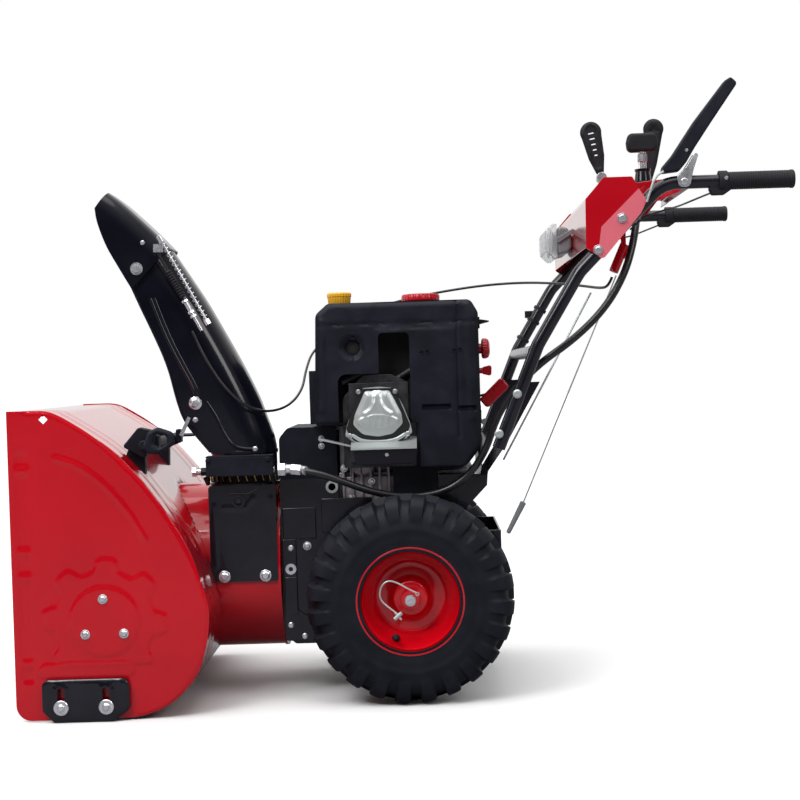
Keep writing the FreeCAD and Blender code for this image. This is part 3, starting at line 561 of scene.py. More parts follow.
def side_relief(a, b):
    """Pressed shapes of a side plate: bearing boss, lobed plateau, crease along
    the back edge, runner pad, front strip and its dimples."""
    dx, dz = a - BEARING.x, b - BEARING.z
    r, turn = np.hypot(dx, dz), np.arctan2(dz, dx)
    lobes = 94 + 11 * np.tanh(2.6 * np.cos(8 * turn + 0.5))
    lift = 1.1 * (1 - smooth_step(lobes - 2, lobes + 3, r)) * smooth_step(-1, 1, b - 92)
    lift = lift + 1.4 * (1 - smooth_step(56, 61, r))
    crease = smooth_profile([(-577, 437), (-540, 423), (-500, 392), (-460, 345), (-432, 296)], 4)
    lift = lift + bead(a, b, crease, 6, 1.5)
    pad = near_line(a, b, [(-604, 84), (-470, 84)])
    lift = lift + 1.14 * (1 - smooth_step(10, 15, pad))
    strip = (1 - smooth_step(8, 13, np.abs(a - FRONT_X - 22))) * (
        1 - smooth_step(190, 205, np.abs(b - 264)))
    for z in (455, 418, 282, 240, 96):
        strip = strip * (1 - 0.8 * (1 - smooth_step(2, 12, np.abs(b - z))))
    lift = lift - 1.6 * strip
    edge = near_line(a, b, outline_side[:90])
    return lift - 1.6 * (1 - smooth_step(0, 5, edge))


outline_side = smooth_profile(SIDE_CURVE, 6) + rounded([(-500, 2), (-657, 2, 26), (-657, 518),
                                                        (-625, 518)], 8)[1:-1]
for side, sign in SIDES:
    stamped("side_pressing_" + side, outline_side, 4.0, side_relief, on_side(sign, SIDE_FACE), RED,
            "machine", ["side_plate_" + side], gauge=3.0, holes=[DIAMOND], angle=50)

# Back sheet: one smooth curve from the top lip to the scraper, two swaged beads,
# and the round opening into the impeller drum.
WRAP_LINE = [(-654, 503), (-654, 514.5), (-640, 515), (-590, 513), (-566, 503), (-502, 461.5),
             (-462, 425.5), (-424, 379.5), (-384, 319), (-355, 261), (-338, 195), (-333.5, 165),
             (-341, 112), (-359, 64), (-403, 25), (-437, 10), (-468, 6)]
DRUM_LOW, DRUM_HIGH = box_mm("impeller_drum")
DRUM_Z = (DRUM_LOW.z + DRUM_HIGH.z) / 2
DRUM_OPENING = 147.0
WRAP_HALF, WRAP_STEP = 304.0, 8


def back_sheet():
    line = smooth_profile(WRAP_LINE, 8)
    rows = [-WRAP_HALF + WRAP_STEP * k for k in range(77)]
    count = len(rows)
    grid = []
    for i, (x, z) in enumerate(line):
        before, after = line[max(i - 1, 0)], line[min(i + 1, len(line) - 1)]
        tangent = Vector((after[0] - before[0], after[1] - before[1])).normalized()
        normal = Vector((-tangent.y, tangent.x))
        share = float(smooth_step(14, 26, i) * (1 - smooth_step(96, 108, i)))
        for y in rows:
            ribs = sum(math.exp(-((abs(y) - at) / 6) ** 2) for at in (205, 255))
            lift = 2.2 * ribs * share
            grid.append(Vector((x + normal.x * lift, y, z + normal.y * lift)))
    inside = [math.hypot(v.y, v.z - DRUM_Z) < DRUM_OPENING and v.x > -470 for v in grid]
    faces, edge = [], set()
    for i in range(len(line) - 1):
        for k in range(count - 1):
            a = i * count + k
            quad = [a, a + 1, a + count + 1, a + count]
            if sum(inside[q] for q in quad) >= 2:
                edge |= {q for q in quad if not inside[q]}
            else:
                faces.append(quad)
    edge |= {q for f in faces for q in f if inside[q]}
    for q in edge:
        v = grid[q]
        ray = Vector((v.y, v.z - DRUM_Z)).normalized() * DRUM_OPENING
        v.y, v.z = ray.x, DRUM_Z + ray.y
    sheet = piece("housing_back", grid, faces, WET_RED, "machine", ["housing_wrap"], angle=60)
    wall = sheet.modifiers.new("gauge", "SOLIDIFY")
    wall.thickness, wall.offset = 2.0 * MM, 0


back_sheet()

# ========================================================== chute, deflector
CHUTE_LOW, CHUTE_HIGH = box_mm("chute")
CHUTE_Y = (CHUTE_LOW.y + CHUTE_HIGH.y) / 2
CHUTE_HALF = (CHUTE_HIGH.y - CHUTE_LOW.y) / 2
GEAR_LOW, GEAR_HIGH = box_mm("ring_gear")
CHUTE_X = (GEAR_LOW.x + GEAR_HIGH.x) / 2
CHUTE_SECTIONS = [
    (-338, 430, -229, 430), (-352, 446, -230, 441), (-372, 471, -234, 462),
    (-386, 494, -243, 489), (-396, 530, -258, 530), (-411, 590, -285, 588),
    (-440, 660, -325, 664), (-457, 700, -352, 712), (-471, 734, -404, 794)]
HOOD_SECTIONS = [
    (-468, 723, -400, 793), (-490, 762, -426, 821), (-510, 800, -454, 849),
    (-524, 840, -484, 877), (-528, 866, -507, 895)]
SPRING_Y = box_mm("deflector_spring")[0].y + 5.5


def channel(name, sections, half, corner, gauge, steps, mat, body, nodes):
    """Bent U channel lofted smoothly through (front x, front z, rear x, rear z)."""
    front = smooth_profile([s[:2] for s in sections], steps)
    rear = smooth_profile([s[2:] for s in sections], steps)
    verts = []
    for (fx, fz), (rx, rz) in zip(front, rear):
        along = Vector((rx - fx, rz - fz))
        depth = along.length
        along.normalize()

        def ring(width, reach, radius):
            line = [(t * (reach - radius), -width) for t in np.linspace(0, 1, 7)]
            for k in range(1, 9):
                a = math.pi / 2 * k / 8
                line.append((reach - radius + radius * math.sin(a),
                             -(width - radius) - radius * math.cos(a)))
            for t in np.linspace(0, 1, 5)[1:]:
                line.append((reach, -(width - radius) + 2 * (width - radius) * t))
            return line + [(d, -w) for d, w in line[:15][::-1]][1:]

        outer = ring(half, depth, corner)
        inner = ring(half - gauge, depth - gauge, corner - gauge)[::-1]
        section = outer + inner
        for d, w in section:
            verts.append((fx + along.x * d, CHUTE_Y + w, fz + along.y * d))
    count, faces = len(section), []
    for i in range(len(front) - 1):
        for k in range(count):
            j = (k + 1) % count
            faces.append([i * count + k, i * count + j, (i + 1) * count + j, (i + 1) * count + k])
    half_count = count // 2
    for base in (0, (len(front) - 1) * count):
        for k in range(half_count - 1):
            faces.append([base + k, base + k + 1, base + count - 2 - k, base + count - 1 - k])
    piece(name, verts, faces, mat, body, nodes, angle=48)


channel("chute_channel", CHUTE_SECTIONS, CHUTE_HALF, 48, 2.5, 8, GLOSS, "chute", ["chute"])
collar = Shape().lathe([(55.5, 399), (58, 399), (58, 426), (60, 428), (60, 433), (58, 435),
                        (55.5, 435)], (CHUTE_X, CHUTE_Y, 0), Z, 80, closed=True)
collar.make("chute_collar", GLOSS, "chute")
HOOD_LOW, HOOD_HIGH = box_mm("deflector")
HOOD_HALF = (HOOD_HIGH.y - HOOD_LOW.y) / 2
channel("deflector_hood", HOOD_SECTIONS, HOOD_HALF, 30, 2.5, 10, GLOSS, "deflector",
        ["deflector"])


def chute_bead(name, points, y, width, height):
    """Half-round rib pressed into a side wall."""
    path = curve_points([(x, y, z) for x, z in points], 8)
    rib = Shape().sweep(path, width, 10)
    for v in rib.verts:
        v.y = y + (v.y - y) * height / width
    rib.make(name, GLOSS, "chute")


CHUTE_NEAR, CHUTE_FAR = CHUTE_LOW.y, CHUTE_HIGH.y
for label, wall in (("near", CHUTE_NEAR), ("far", CHUTE_FAR)):
    for k, shift in enumerate((0, 7)):
        chute_bead(f"upper_rib_{label}_{k}",
                   [(-437 + shift, 706), (-418 + shift, 650), (-390 + shift, 590),
                    (-366 + shift, 545), (-362 + shift, 524)], wall, 2.6, 1.5)
    chute_bead("lower_rib_" + label,
               [(-345, 522), (-330, 500), (-318, 470), (-304, 446), (-286, 436), (-262, 436)],
               wall, 3.0, 1.8)
    chute_bead("front_flange_" + label, [(-471, 733), (-455, 694), (-439, 659), (-409.5, 589),
                                         (-396, 527), (-386, 494), (-371, 471), (-340, 433)],
               wall + (1.2 if wall < CHUTE_Y else -1.2), 2.6, 2.6)

hardware = Shape()
hardware.bolt((-364, CHUTE_NEAR, 520), -Y, 10)
hardware.bolt((-365, CHUTE_NEAR, 490), -Y, 6, washer=False)
hardware.bolt((-262, CHUTE_NEAR, 436), -Y, 6, washer=False)
hardware.slab([(-378, 497), (-373, 494), (-388, 462), (-394, 465)], CHUTE_NEAR - 3, CHUTE_NEAR)
hardware.make("chute_hardware", ZINC, "chute")
pivots = Shape()
for y, way in ((HOOD_LOW.y, -Y), (HOOD_HIGH.y, Y)):
    pivots.lathe([(0, 0), (11, 0), (11, 1.4), (5, 1.6), (5, 4), (7, 4.4), (6.4, 7.4), (0, 8)],
                 (-458, y, 758), way, 32)
pivots.bolt((-446, HOOD_LOW.y, 803), -Y, 5, washer=False)
pivots.make("hood_pivots", ZINC, "deflector")

# Spring rod between the hood and the chute: zinc end block, rubber boot,
# compression spring, barrel adjuster.
ROD_LOW = Vector((-343, SPRING_Y, 655))
ROD_TOP = Vector((-421, SPRING_Y, 803))


def offset_rod(t, shift):
    """Point beside the rod: shift towards the front."""
    across = (ROD_TOP - ROD_LOW).cross(Y).normalized()
    return ROD_LOW.lerp(ROD_TOP, t) + across * shift


def linkage():
    spring = Shape()
    turns, coil = 17, 4.6
    u, v, w = frame_of(ROD_TOP - ROD_LOW)
    path = []
    for k in range(turns * 14 + 1):
        a = 2 * math.pi * k / 14
        path.append(offset_rod(0.04 + 0.92 * k / (turns * 14), -9)
                    + (u * math.cos(a) + v * math.sin(a)) * coil)
    spring.sweep(path, 0.85, 6)
    spring.rod(offset_rod(0.0, -9), offset_rod(1.02, -9), 2.2, 12)
    spring.rod(offset_rod(0.96, -9), offset_rod(1.04, -9), 5.4, 16, 0.6)
    spring.rod(offset_rod(-0.02, -9), offset_rod(0.04, -9), 5.6, 6, 0.6)
    adjuster = Shape()
    adjuster.rod(offset_rod(-0.04, 7), offset_rod(0.13, 7), 3.2, 14, 0.4)
    adjuster.rod(offset_rod(0.14, 7), offset_rod(0.30, 7), 4.2, 14, 0.5)
    for t in (0.12, 0.17, 0.30):
        adjuster.rod(offset_rod(t, 7), offset_rod(t + 0.028, 7), 6.2, 6, 0.6)
    adjuster.block(tuple(offset_rod(0.93, 2) - Vector((8, 4, 7))),
                   tuple(offset_rod(0.93, 2) + Vector((8, 4, 7))))
    boot = [(6.4 if k % 2 else 4.6, k * 2.4) for k in range(23)]
    rubber = Shape()
    rubber.lathe([(0, 0), *boot, (0, boot[-1][1])], offset_rod(0.36, 7), w, 20)
    rubber.rod(offset_rod(0.69, 7), offset_rod(0.92, 7), 2.4, 12)
    made = [spring.make("hood_spring", ZINC, None, ["deflector_spring"]),
            adjuster.make("barrel_adjuster", ZINC, None),
            rubber.make("cable_boot", SOFT_BLACK, None)]
    for obj in made:
        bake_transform(obj)


linkage()

# ------------------------------------------------------- neck, gear and worm
gear = Shape()
GEAR_TEETH, TOOTH_LEAN, GEAR_OUT = 26, 0.05, (GEAR_HIGH.x - GEAR_LOW.x) / 2
gear.lathe([(54, 377), (GEAR_OUT - 5, 377), (GEAR_OUT - 5, 399), (54, 399)],
           (CHUTE_X, CHUTE_Y, 0), Z, 104, closed=True)
for tooth in range(GEAR_TEETH):
    a = 2 * math.pi * tooth / GEAR_TEETH
    corners = []
    for z, turn in ((377.5, a - TOOTH_LEAN), (398.5, a + TOOTH_LEAN)):
        for r, w in ((GEAR_OUT - 6, 0.052), (GEAR_OUT - 0.2, 0.024)):
            for s in (-1, 1):
                corners.append((CHUTE_X + r * math.cos(turn + s * w),
                                CHUTE_Y + r * math.sin(turn + s * w), z))
    gear.add(corners, [(0, 1, 3, 2), (4, 6, 7, 5), (0, 2, 6, 4), (1, 5, 7, 3), (2, 3, 7, 6),
                       (0, 4, 5, 1)])
# The ring gear is coloured with the shade black: painted shade under the worm cover. Its brass shows
# only in the thread marks.
gear.make("chute_gear", SHADOW, "chute", ["ring_gear"])
thread = Shape()
for tooth in range(GEAR_TEETH):
    a = 2 * math.pi * tooth / GEAR_TEETH
    thread.rod((CHUTE_X + GEAR_OUT * math.cos(a), CHUTE_Y + GEAR_OUT * math.sin(a), 391),
               (CHUTE_X + GEAR_OUT * math.cos(a + TOOTH_LEAN),
                CHUTE_Y + GEAR_OUT * math.sin(a + TOOTH_LEAN), 380), 0.9, 8)
thread.make("gear_threads", BRASS, "chute")

NECK_FACE = CHUTE_Y - 63
neck_trim = Shape()
neck_plate = rounded([(CHUTE_X - 59, 205, 5), (CHUTE_X + 59, 205, 5), (CHUTE_X + 59, 372, 3),
                      (CHUTE_X - 59, 372, 3)], 4)


def neck_relief(a, b):
    rib = bead(a, b, [(CHUTE_X - 50, 232), (CHUTE_X - 50, 340)], 4, 1.2)
    rib = rib + bead(a, b, [(CHUTE_X + 8, 236), (CHUTE_X + 8, 330)], 4, 0.9)
    rib = rib + bead(a, b, [(CHUTE_X + 44, 240), (CHUTE_X + 50, 300), (CHUTE_X + 50, 350)], 4, 1.1)
    return rib + bead(a, b, [(CHUTE_X - 34, 334), (CHUTE_X + 6, 334), (CHUTE_X + 20, 352)], 4, 1.3)


stamped("neck_plate", neck_plate, 4, neck_relief, lambda a, b, h: (a, NECK_FACE - 0.6 - h, b),
        BLACK, "machine", gauge=1.6)
neck_trim.rod((CHUTE_X - 6, NECK_FACE, 346), (CHUTE_X - 6, NECK_FACE - 5, 346), 3.4, 16, 0.5)
neck_trim.sweep(curve_points([(CHUTE_X - 24, NECK_FACE - 2, 358), (CHUTE_X - 16, NECK_FACE - 5, 361),
                              (CHUTE_X + 14, NECK_FACE - 5, 358), (CHUTE_X + 34, NECK_FACE - 4, 372),
                              (CHUTE_X + 40, NECK_FACE - 3, 376)], 8), 1.1, 8)
neck_trim.rod((CHUTE_X - 58, NECK_FACE + 2, 376), (CHUTE_X - 64, NECK_FACE + 2, 390), 4, 14, 0.6)
neck_trim.make("neck_clip", IRON, "machine")
ears = Shape()
ears.lathe([(8, 0), (12, 0), (12, 2.4), (8, 2.4)], (CHUTE_X - 6, NECK_FACE - 1.4, 346), -Y, 28,
           closed=True)
ears.make("neck_eye", BLACK, "machine")

COVER_LOW, COVER_HIGH = box_mm("worm_cover")
cover = Shape()
lip = 2.5
cover.slab(rounded([(COVER_LOW.x, 392, 1.5), (COVER_HIGH.x, 392, 1.5), (COVER_HIGH.x, 424, 5),
                    (COVER_LOW.x, 424, 5)]), COVER_LOW.y + 3, COVER_LOW.y)
cover.slab([(COVER_LOW.x, 424), (COVER_HIGH.x, 424), (COVER_HIGH.x, 427), (COVER_LOW.x, 427)],
           COVER_LOW.y, COVER_HIGH.y - 0.6)
for x in (COVER_LOW.x, COVER_HIGH.x - lip):
    cover.slab([(x, 376), (x + lip, 376), (x + lip, 426), (x, 426)], COVER_LOW.y + 12,
               COVER_HIGH.y)
for x in (COVER_LOW.x + 4, COVER_HIGH.x - 8):
    cover.rod((x, COVER_LOW.y - 3, 420), (x, COVER_LOW.y + 2, 420), 4.4, 16, 0.8)
bevel(cover.make("worm_guard", PLASTIC, "machine", ["worm_cover"]), 0.8, 2)
WORM = (box_mm("worm_shaft")[0] + box_mm("worm_shaft")[1]) / 2
worm = Shape()
thread = []
for k in range(7 * 24 + 1):
    a = 2 * math.pi * k / 24
    thread.append((-333 + 11 * k / 24, WORM.y + 8.2 * math.cos(a), WORM.z + 8.2 * math.sin(a)))
worm.sweep(thread, 1.7, 8)
worm.rod((-364, WORM.y, WORM.z), (-227, WORM.y, WORM.z), 5.9, 24, 0.5)
worm.lathe([(6, 0), (9.2, 0), (9.2, 7), (6, 7)], (-371, WORM.y, WORM.z), X, 6, closed=True)
worm.make("worm_screw", ZINC, "worm", ["worm_shaft"])
nut = Shape().rod((-356, WORM.y, WORM.z), (-346, WORM.y, WORM.z), 8, 6, 0.8)
nut.rod((-371, WORM.y, WORM.z), (-366, WORM.y, WORM.z), 6.5, 20, 0.8)
nut.make("worm_end_stop", SOFT_BLACK, "worm")

# ================================================================ engine
SHROUD_LOW, SHROUD_HIGH = box_mm("engine_shroud")
SHROUD_NEAR, SHROUD_FAR = SHROUD_LOW.y, SHROUD_HIGH.y
SHROUD_SHAPE = [(-126, 686, 14), (122, 686, 14), (135, 663, 16), (135, 430, 34), (104, 392, 34),
                (22, 392, 14), (22, 474), (-154, 474, 6), (-148, 667, 16)]
SHROUD_LOOP = rounded(SHROUD_SHAPE, 8)


def dent(a, b, low, high, line):
    """1 on a line, falling to 0 between low and high from it."""
    return 1 - smooth_step(low, high, near_line(a, b, line))


def shroud_rim(a, b):
    """Rounded-over border of both shroud walls."""
    corners = [p[:2] for p in SHROUD_SHAPE + SHROUD_SHAPE[:1]]
    return -7.0 * dent(a, b, 0, 9, corners) ** 2


def shroud_relief(a, b):
    """Near wall: recess for the spark plug, crease lines, raised panel, two slots."""
    lift = -5.0 * (1 - smooth_step(18, 21.5, np.hypot(a + 85, b - 608)))
    lift = lift - 10.0 * (1 - smooth_step(11, 13, np.hypot(a + 85, b - 608)))
    panel = smooth_step(-46, -42, a) * (1 - smooth_step(94, 98, a)) * smooth_step(636, 640, b)
    lift = lift - 2.0 * panel
    lift = lift - 2.6 * (1 - smooth_step(1.2, 2.6, np.abs(a - 97))) * smooth_step(440, 450, b)
    lift = lift - 2.2 * (1 - smooth_step(1.2, 2.6, np.abs(b - 648)))
    lift = lift - 7.0 * dent(a, b, 4, 6, [(40, 500), (78, 500)])
    lift = lift - 7.0 * dent(a, b, 3, 5, [(103, 496), (124, 496)])
    lift = lift + 3.0 * smooth_step(112, 118, a) * smooth_step(470, 480, b)
    lift = lift + 2.5 * dent(a, b, 3, 6, [(-136, 655), (-140, 500)])
    return lift + shroud_rim(a, b)


window_loop = rounded([(-112, 478, 3), (14, 478, 3), (14, 632, 8), (-40, 632, 8), (-40, 562, 3),
                       (-112, 562, 14)], 4)
stamped("shroud_near_wall", SHROUD_LOOP, 4.0, shroud_relief, on_side(-1, -SHROUD_NEAR), PLASTIC,
        "machine", ["engine_shroud"], gauge=4.0, holes=[window_loop], angle=40)


def far_relief(a, b):
    lift = -2.4 * smooth_step(-104, -100, a) * (1 - smooth_step(48, 52, a)) * (
        1 - smooth_step(566, 570, b))
    for z in (600, 612, 624, 636):
        lift = lift - 6.0 * dent(a, b, 2.2, 3.6, [(-40, z), (70, z)])
    return lift + shroud_rim(a, b)


stamped("shroud_far_wall", SHROUD_LOOP, 4.0, far_relief, on_side(1, SHROUD_FAR), PLASTIC,
        "machine", gauge=4.0, angle=40)
skirt = Shape()
inner_ring = rounded([(-123, 683, 12), (119, 683, 12), (132, 662, 14), (132, 432, 32),
                      (103, 395, 32), (25, 395, 12), (25, 474), (-150, 477, 4), (-145, 666, 14)],
                     8)
WALL_EDGE = -SHROUD_NEAR - 7
verts = [(x, y, z) for loop, y in (
    (SHROUD_LOOP, -WALL_EDGE), (SHROUD_LOOP, WALL_EDGE), (inner_ring, WALL_EDGE),
    (inner_ring, -WALL_EDGE)) for x, z in loop]
count = len(SHROUD_LOOP)
faces = []
for k in range(count):
    j = (k + 1) % count
    if all(SHROUD_LOOP[i][1] < 480 and SHROUD_LOOP[i][0] < 24 for i in (k, j)):
        continue
    for row in range(4):
        below, above = row * count, (row + 1) % 4 * count
        faces.append([below + k, below + j, above + j, above + k])
skirt.add(verts, faces)
skirt.make("shroud_band", PLASTIC, "machine")
trim = Shape()
trim.block((-164, -140, 476), (-150, 0, 570))
trim.lathe([(17, 0), (20, 0), (20, 6), (17, 6)], (-113.5, 0, 685), Z, 40, closed=True)
trim.lathe([(28, 0), (32, 0), (32, 6), (28, 6)], (36, 0, 685), Z, 48, closed=True)
trim.lathe([(66, 0), (64, 3), (50, 4.4), (14, 4.8), (0, 4.8)], (134, -20, 455), X, 64)
bevel(trim.make("shroud_trim", PLASTIC, "machine"), 1.5, 2)
# Dark strips and rods in the shade black for the top and recoil-cover vents: painted shade in the
# openings.
slots = Shape()
for i in range(4):
    slots.block((40 + 14 * i, 60, 685.6), (47 + 14 * i, 130, 686.4))
for k in range(14):
    a = 2 * math.pi * k / 14
    start = Vector((138.6, -20 + 26 * math.cos(a), 455 + 26 * math.sin(a)))
    slots.rod(start, start + Vector((0, 18 * math.cos(a), 18 * math.sin(a))), 1.6, 8)
# Dark block behind the shroud window: painted shade of the shroud's dark inside.
slots.block((-117, -122, 470), (25, -116, 640))
slots.make("shroud_slot_shade", SHADOW, "machine")
screws = Shape()
for x, z in ((35, 596), (45, 597), (92, 598), (102, 599)):
    screws.lathe([(0, 0), (3.4, 0), (3.2, 1.6), (1.6, 1.8), (1.4, 0.9), (0, 0.9)],
                 (x, SHROUD_NEAR - 0.1, z), -Y, 18)
screws.make("shroud_screws", GLOSS, "machine")


# Valve cover: pear-shaped pressing with a domed middle, two ribs and an oval pad.
def signed(a, b, loop):
    """Distance inside a closed outline, negative outside."""
    within = np.zeros(a.shape, bool)
    for (x0, y0), (x1, y1) in zip(loop, loop[1:] + loop[:1]):
        crosses = (y0 > b) != (y1 > b)
        run = (x1 - x0) / (y1 - y0 if y1 != y0 else 1e-9)
        within ^= crosses & (a < x0 + (b - y0) * run)
    return np.where(within, 1, -1) * near_line(a, b, loop + loop[:1])


COVER_OUTER = rounded([(-72, 537, 10), (-40, 539, 60), (-16, 536, 10), (0, 505, 40), (11, 476, 20),
                       (15, 458, 7), (4, 448, 8), (-23, 438, 30), (-75, 439, 30), (-92, 447, 6),
                       (-102, 455, 7), (-98, 474, 20), (-87, 502, 40)], 5)
COVER_INNER = rounded([(-66, 533, 8), (-22, 533, 8), (-2, 492, 24), (0, 474, 10), (-18, 456, 18),
                       (-44, 451, 40), (-72, 456, 18), (-89, 474, 10), (-85, 492, 24)], 6)
COVER_Y = 171.5


def cover_relief(a, b):
    depth = signed(a, b, COVER_INNER)
    lift = 4.0 * smooth_step(-2, 12, depth) + 3.0 * smooth_step(8, 30, depth)
    for foot in (-66, -22):
        line = smooth_profile([(-44 + (foot + 44) * 0.12, 528), (-44 + (foot + 44) * 0.2, 512),
                               (-44 + (foot + 44) * 0.5, 500), (foot, 492)], 4)
        lift = lift + bead(a, b, line, 6, 2.0)
    oval = np.hypot((a + 44) / 34, (b - 478) / 12.5)
    lift = lift + 1.3 * (1 - smooth_step(0.04, 0.22, np.abs(oval - 0.9)))
    for shift in (-16, -5.5, 5.5, 16):
        lift = lift + bead(a, b, [(-44 + shift, 472), (-44 + shift, 484)], 4.0, 1.3)
    lower = smooth_profile([(-88, 455), (-72, 446), (-44, 443), (-16, 446), (2, 455)], 4)
    return lift + bead(a, b, lower, 5, 1.5)


stamped("rocker_cover", COVER_OUTER, 1.6, cover_relief, on_side(-1, COVER_Y), BRIGHT, "machine",
        ["valve_cover"], gauge=2.0, angle=55)
# Dark plate behind the rocker cover in the shade black: painted shade round the cover's edge.
head = Shape().slab(rounded([(-76, 536, 8), (-14, 536, 8), (12, 470, 10), (0, 444, 12),
                             (-86, 444, 12), (-100, 466, 10)], 4), -172, -160)
head.make("head_plate_shade", SHADOW, "machine")
fins = Shape()
for k in range(7):
    y = -96 - 9 * k
    fins.slab(rounded([(-106, 398, 6), (22, 398, 6), (22, 540, 30), (-20, 560, 20), (-70, 560, 20),
                       (-106, 520, 20)], 4), y - 3, y)
fins.block((-94, -160, 408), (10, -90, 546))
fins.rod((-108, -130, 548), (-60, -130, 566), 9, 16, 1)
fins.rod((-30, -128, 540), (16, -122, 566), 7, 16, 1)
bevel(fins.make("cylinder_fins", DARK_ALLOY, "machine"), 0.8, 2)
crankcase = Shape()
crankcase.block((-117, -94, 381), (111, 120, 491))
crankcase.block((-118, -110, 380), (122, 130, 387.5))
crankcase.block((-117.5, -124, 331), (56.5, 119.5, 381))
for k in range(6):
    crankcase.block((-112 + 16 * k, -130, 336 + 2 * k), (-107 + 16 * k, -94, 404))
for k in range(5):
    crankcase.block((-20, -128, 346 + 11 * k), (52, -94, 350 + 11 * k))
crankcase.lathe([(0, 0), (26, 0), (26, 24), (20, 34), (0, 34)], (-76, -96, 404), -Y, 40)
crankcase.block((-100, -122, 398), (24, -94, 404))
bevel(crankcase.make("crankcase", ALLOY, "machine", ["engine_block"]), 1.6, 2)
sump_face = Shape().slab(rounded([(-22, 331, 2), (57, 331, 6), (57, 404, 6), (-22, 404, 2)], 4),
                         -134, -129)
sump_face.make("sump_face", PLASTIC, "machine")
case_bolts = Shape()
for x, z in ((-108, 396), (-60, 372), (-96, 344)):
    case_bolts.bolt((x, -130, z), -Y, 5.5)
case_bolts.make("crankcase_bolts", ZINC, "machine")
small = Shape()
for x, z in ((-77, 531), (-13, 530), (-94, 455), (7, 456)):
    small.bolt((x, -COVER_Y - 0.5, z), -Y, 5.2, washer=False)
small.bolt((-30, -191, 421), -Y, 4.4, washer=False)
for z in (436, 449):
    small.bolt((-148, -105, z), -Y, 5)
small.make("engine_screws", ZINC, "machine")
shield = Shape()
shield.slab([(-196, 434), (-193, 434), (-150, 452), (-150, 449), (-193, 431), (-196, 431)], -92,
            22, "YZ")
shield.slab([(-148, 452), (-92, 438), (-92, 435), (-148, 449)], -166, -140)
shield.make("shield_shelf", BRIGHT, "machine", ["heat_shield"])
panel = Shape().slab(rounded([(-88, 435, 2), (24, 431, 2), (18, 405, 5), (-84, 405, 5)], 3),
                     -191, -188.6)
bevel(panel.make("shield_panel", GLOSS, "machine"), 0.8, 2)
eye = Shape().lathe([(6.5, 0), (11, 0), (11, 3), (6.5, 3)], (-130, -135, 365), -Y, 36, closed=True)
eye.make("eyelet", BRIGHT, "machine")
boss = Shape().lathe([(0, 0), (15, 0), (13, 4), (9, 5), (0, 5)], (-130, -130, 365), -Y, 36)
boss.block((-146, -131, 340), (-112, -96, 380))
bevel(boss.make("eyelet_boss", IRON, "machine"), 2, 2)
guard = Shape()
for k in range(9):
    guard.slab(rounded([(-92, 448 + 12 * k, 3), (36, 448 + 12 * k, 3), (36, 455 + 12 * k, 3),
                        (-92, 455 + 12 * k, 3)], 2), 214, 217)
guard.block((-96, 211, 444), (-88, 216, 556))
guard.block((32, 211, 444), (40, 216, 556))
guard.make("muffler_guard", IRON, "machine")


def knurl(shape, at, direction, ribs, depth, above):
    """Flute the parts of a lathed shape that lie beyond radius above."""
    u, v, w = frame_of(direction)
    for p in shape.verts:
        arm = p - Vector(at)
        flat = arm - w * arm.dot(w)
        if flat.length > above:
            a = math.atan2(flat.dot(v), flat.dot(u))
            p -= flat.normalized() * depth * (0.5 + 0.5 * math.cos(ribs * a))
    return shape


GAP = 691.8
cap = Shape().lathe([(0, 0), (20, 0), (20.6, 1), (21.6, 12), (22.5, 13), (22.5, 18), (21, 20),
                     (8, 21), (0, 21)], (-113.5, 0, GAP), Z, 160)
knurl(cap, (-113.5, 0, GAP), Z, 26, 0.9, 18).make("oil_filler_cap", YELLOW, "oil_cap",
                                                 ["oil_cap"])
cap = Shape().lathe([(0, 0), (33, 0), (35, 1.5), (35, 9), (33, 12.6), (22, 14), (0, 14)],
                    (36, 0, GAP), Z, 192)
knurl(cap, (36, 0, GAP), Z, 30, 0.7, 31).make("tank_cap", RED_PLASTIC, "fuel_cap", ["fuel_cap"])
cap = Shape().lathe([(0, 0), (9, 0), (9, 5), (15, 5.6), (18, 7.5), (18, 13), (15.6, 17.6),
                     (10, 19.8), (0, 20)], (135.4, -120, 600), X, 120)
knurl(cap, (135.4, -120, 600), X, 24, 0.8, 14).make("choke_dial", RED_PLASTIC, "choke",
                                                   ["choke_knob"])
key = Shape().slab(rounded([(141, 555, 3), (157, 551, 4), (158, 571, 4), (141, 567, 3)]), -122,
                   -118)
key.rod((135.4, -120, 561), (142, -120, 561), 5, 20, 0.5)
bevel(key.make("key_body", RED_PLASTIC, "key", ["ignition_key"]), 0.8, 2)
arm = Shape().slab(rounded([(139, 643, 1), (156, 647, 1.4), (156, 649, 1), (139, 652, 1)]),
                   -118, -102)
arm.block((135.4, -124, 636), (139, -96, 656))
bevel(arm.make("throttle_arm", PLASTIC, "throttle", ["throttle_lever"]), 0.8, 2)
# Dark disc in the spark plug recess: painted shade at its bottom.
plug = Shape().lathe([(0, 0), (11.5, 0), (11.5, 2), (8, 3), (8, 1), (0, 1)], (-85, -156, 608), -Y,
                     32)
plug.make("plug_recess_shade", SHADOW, "machine")

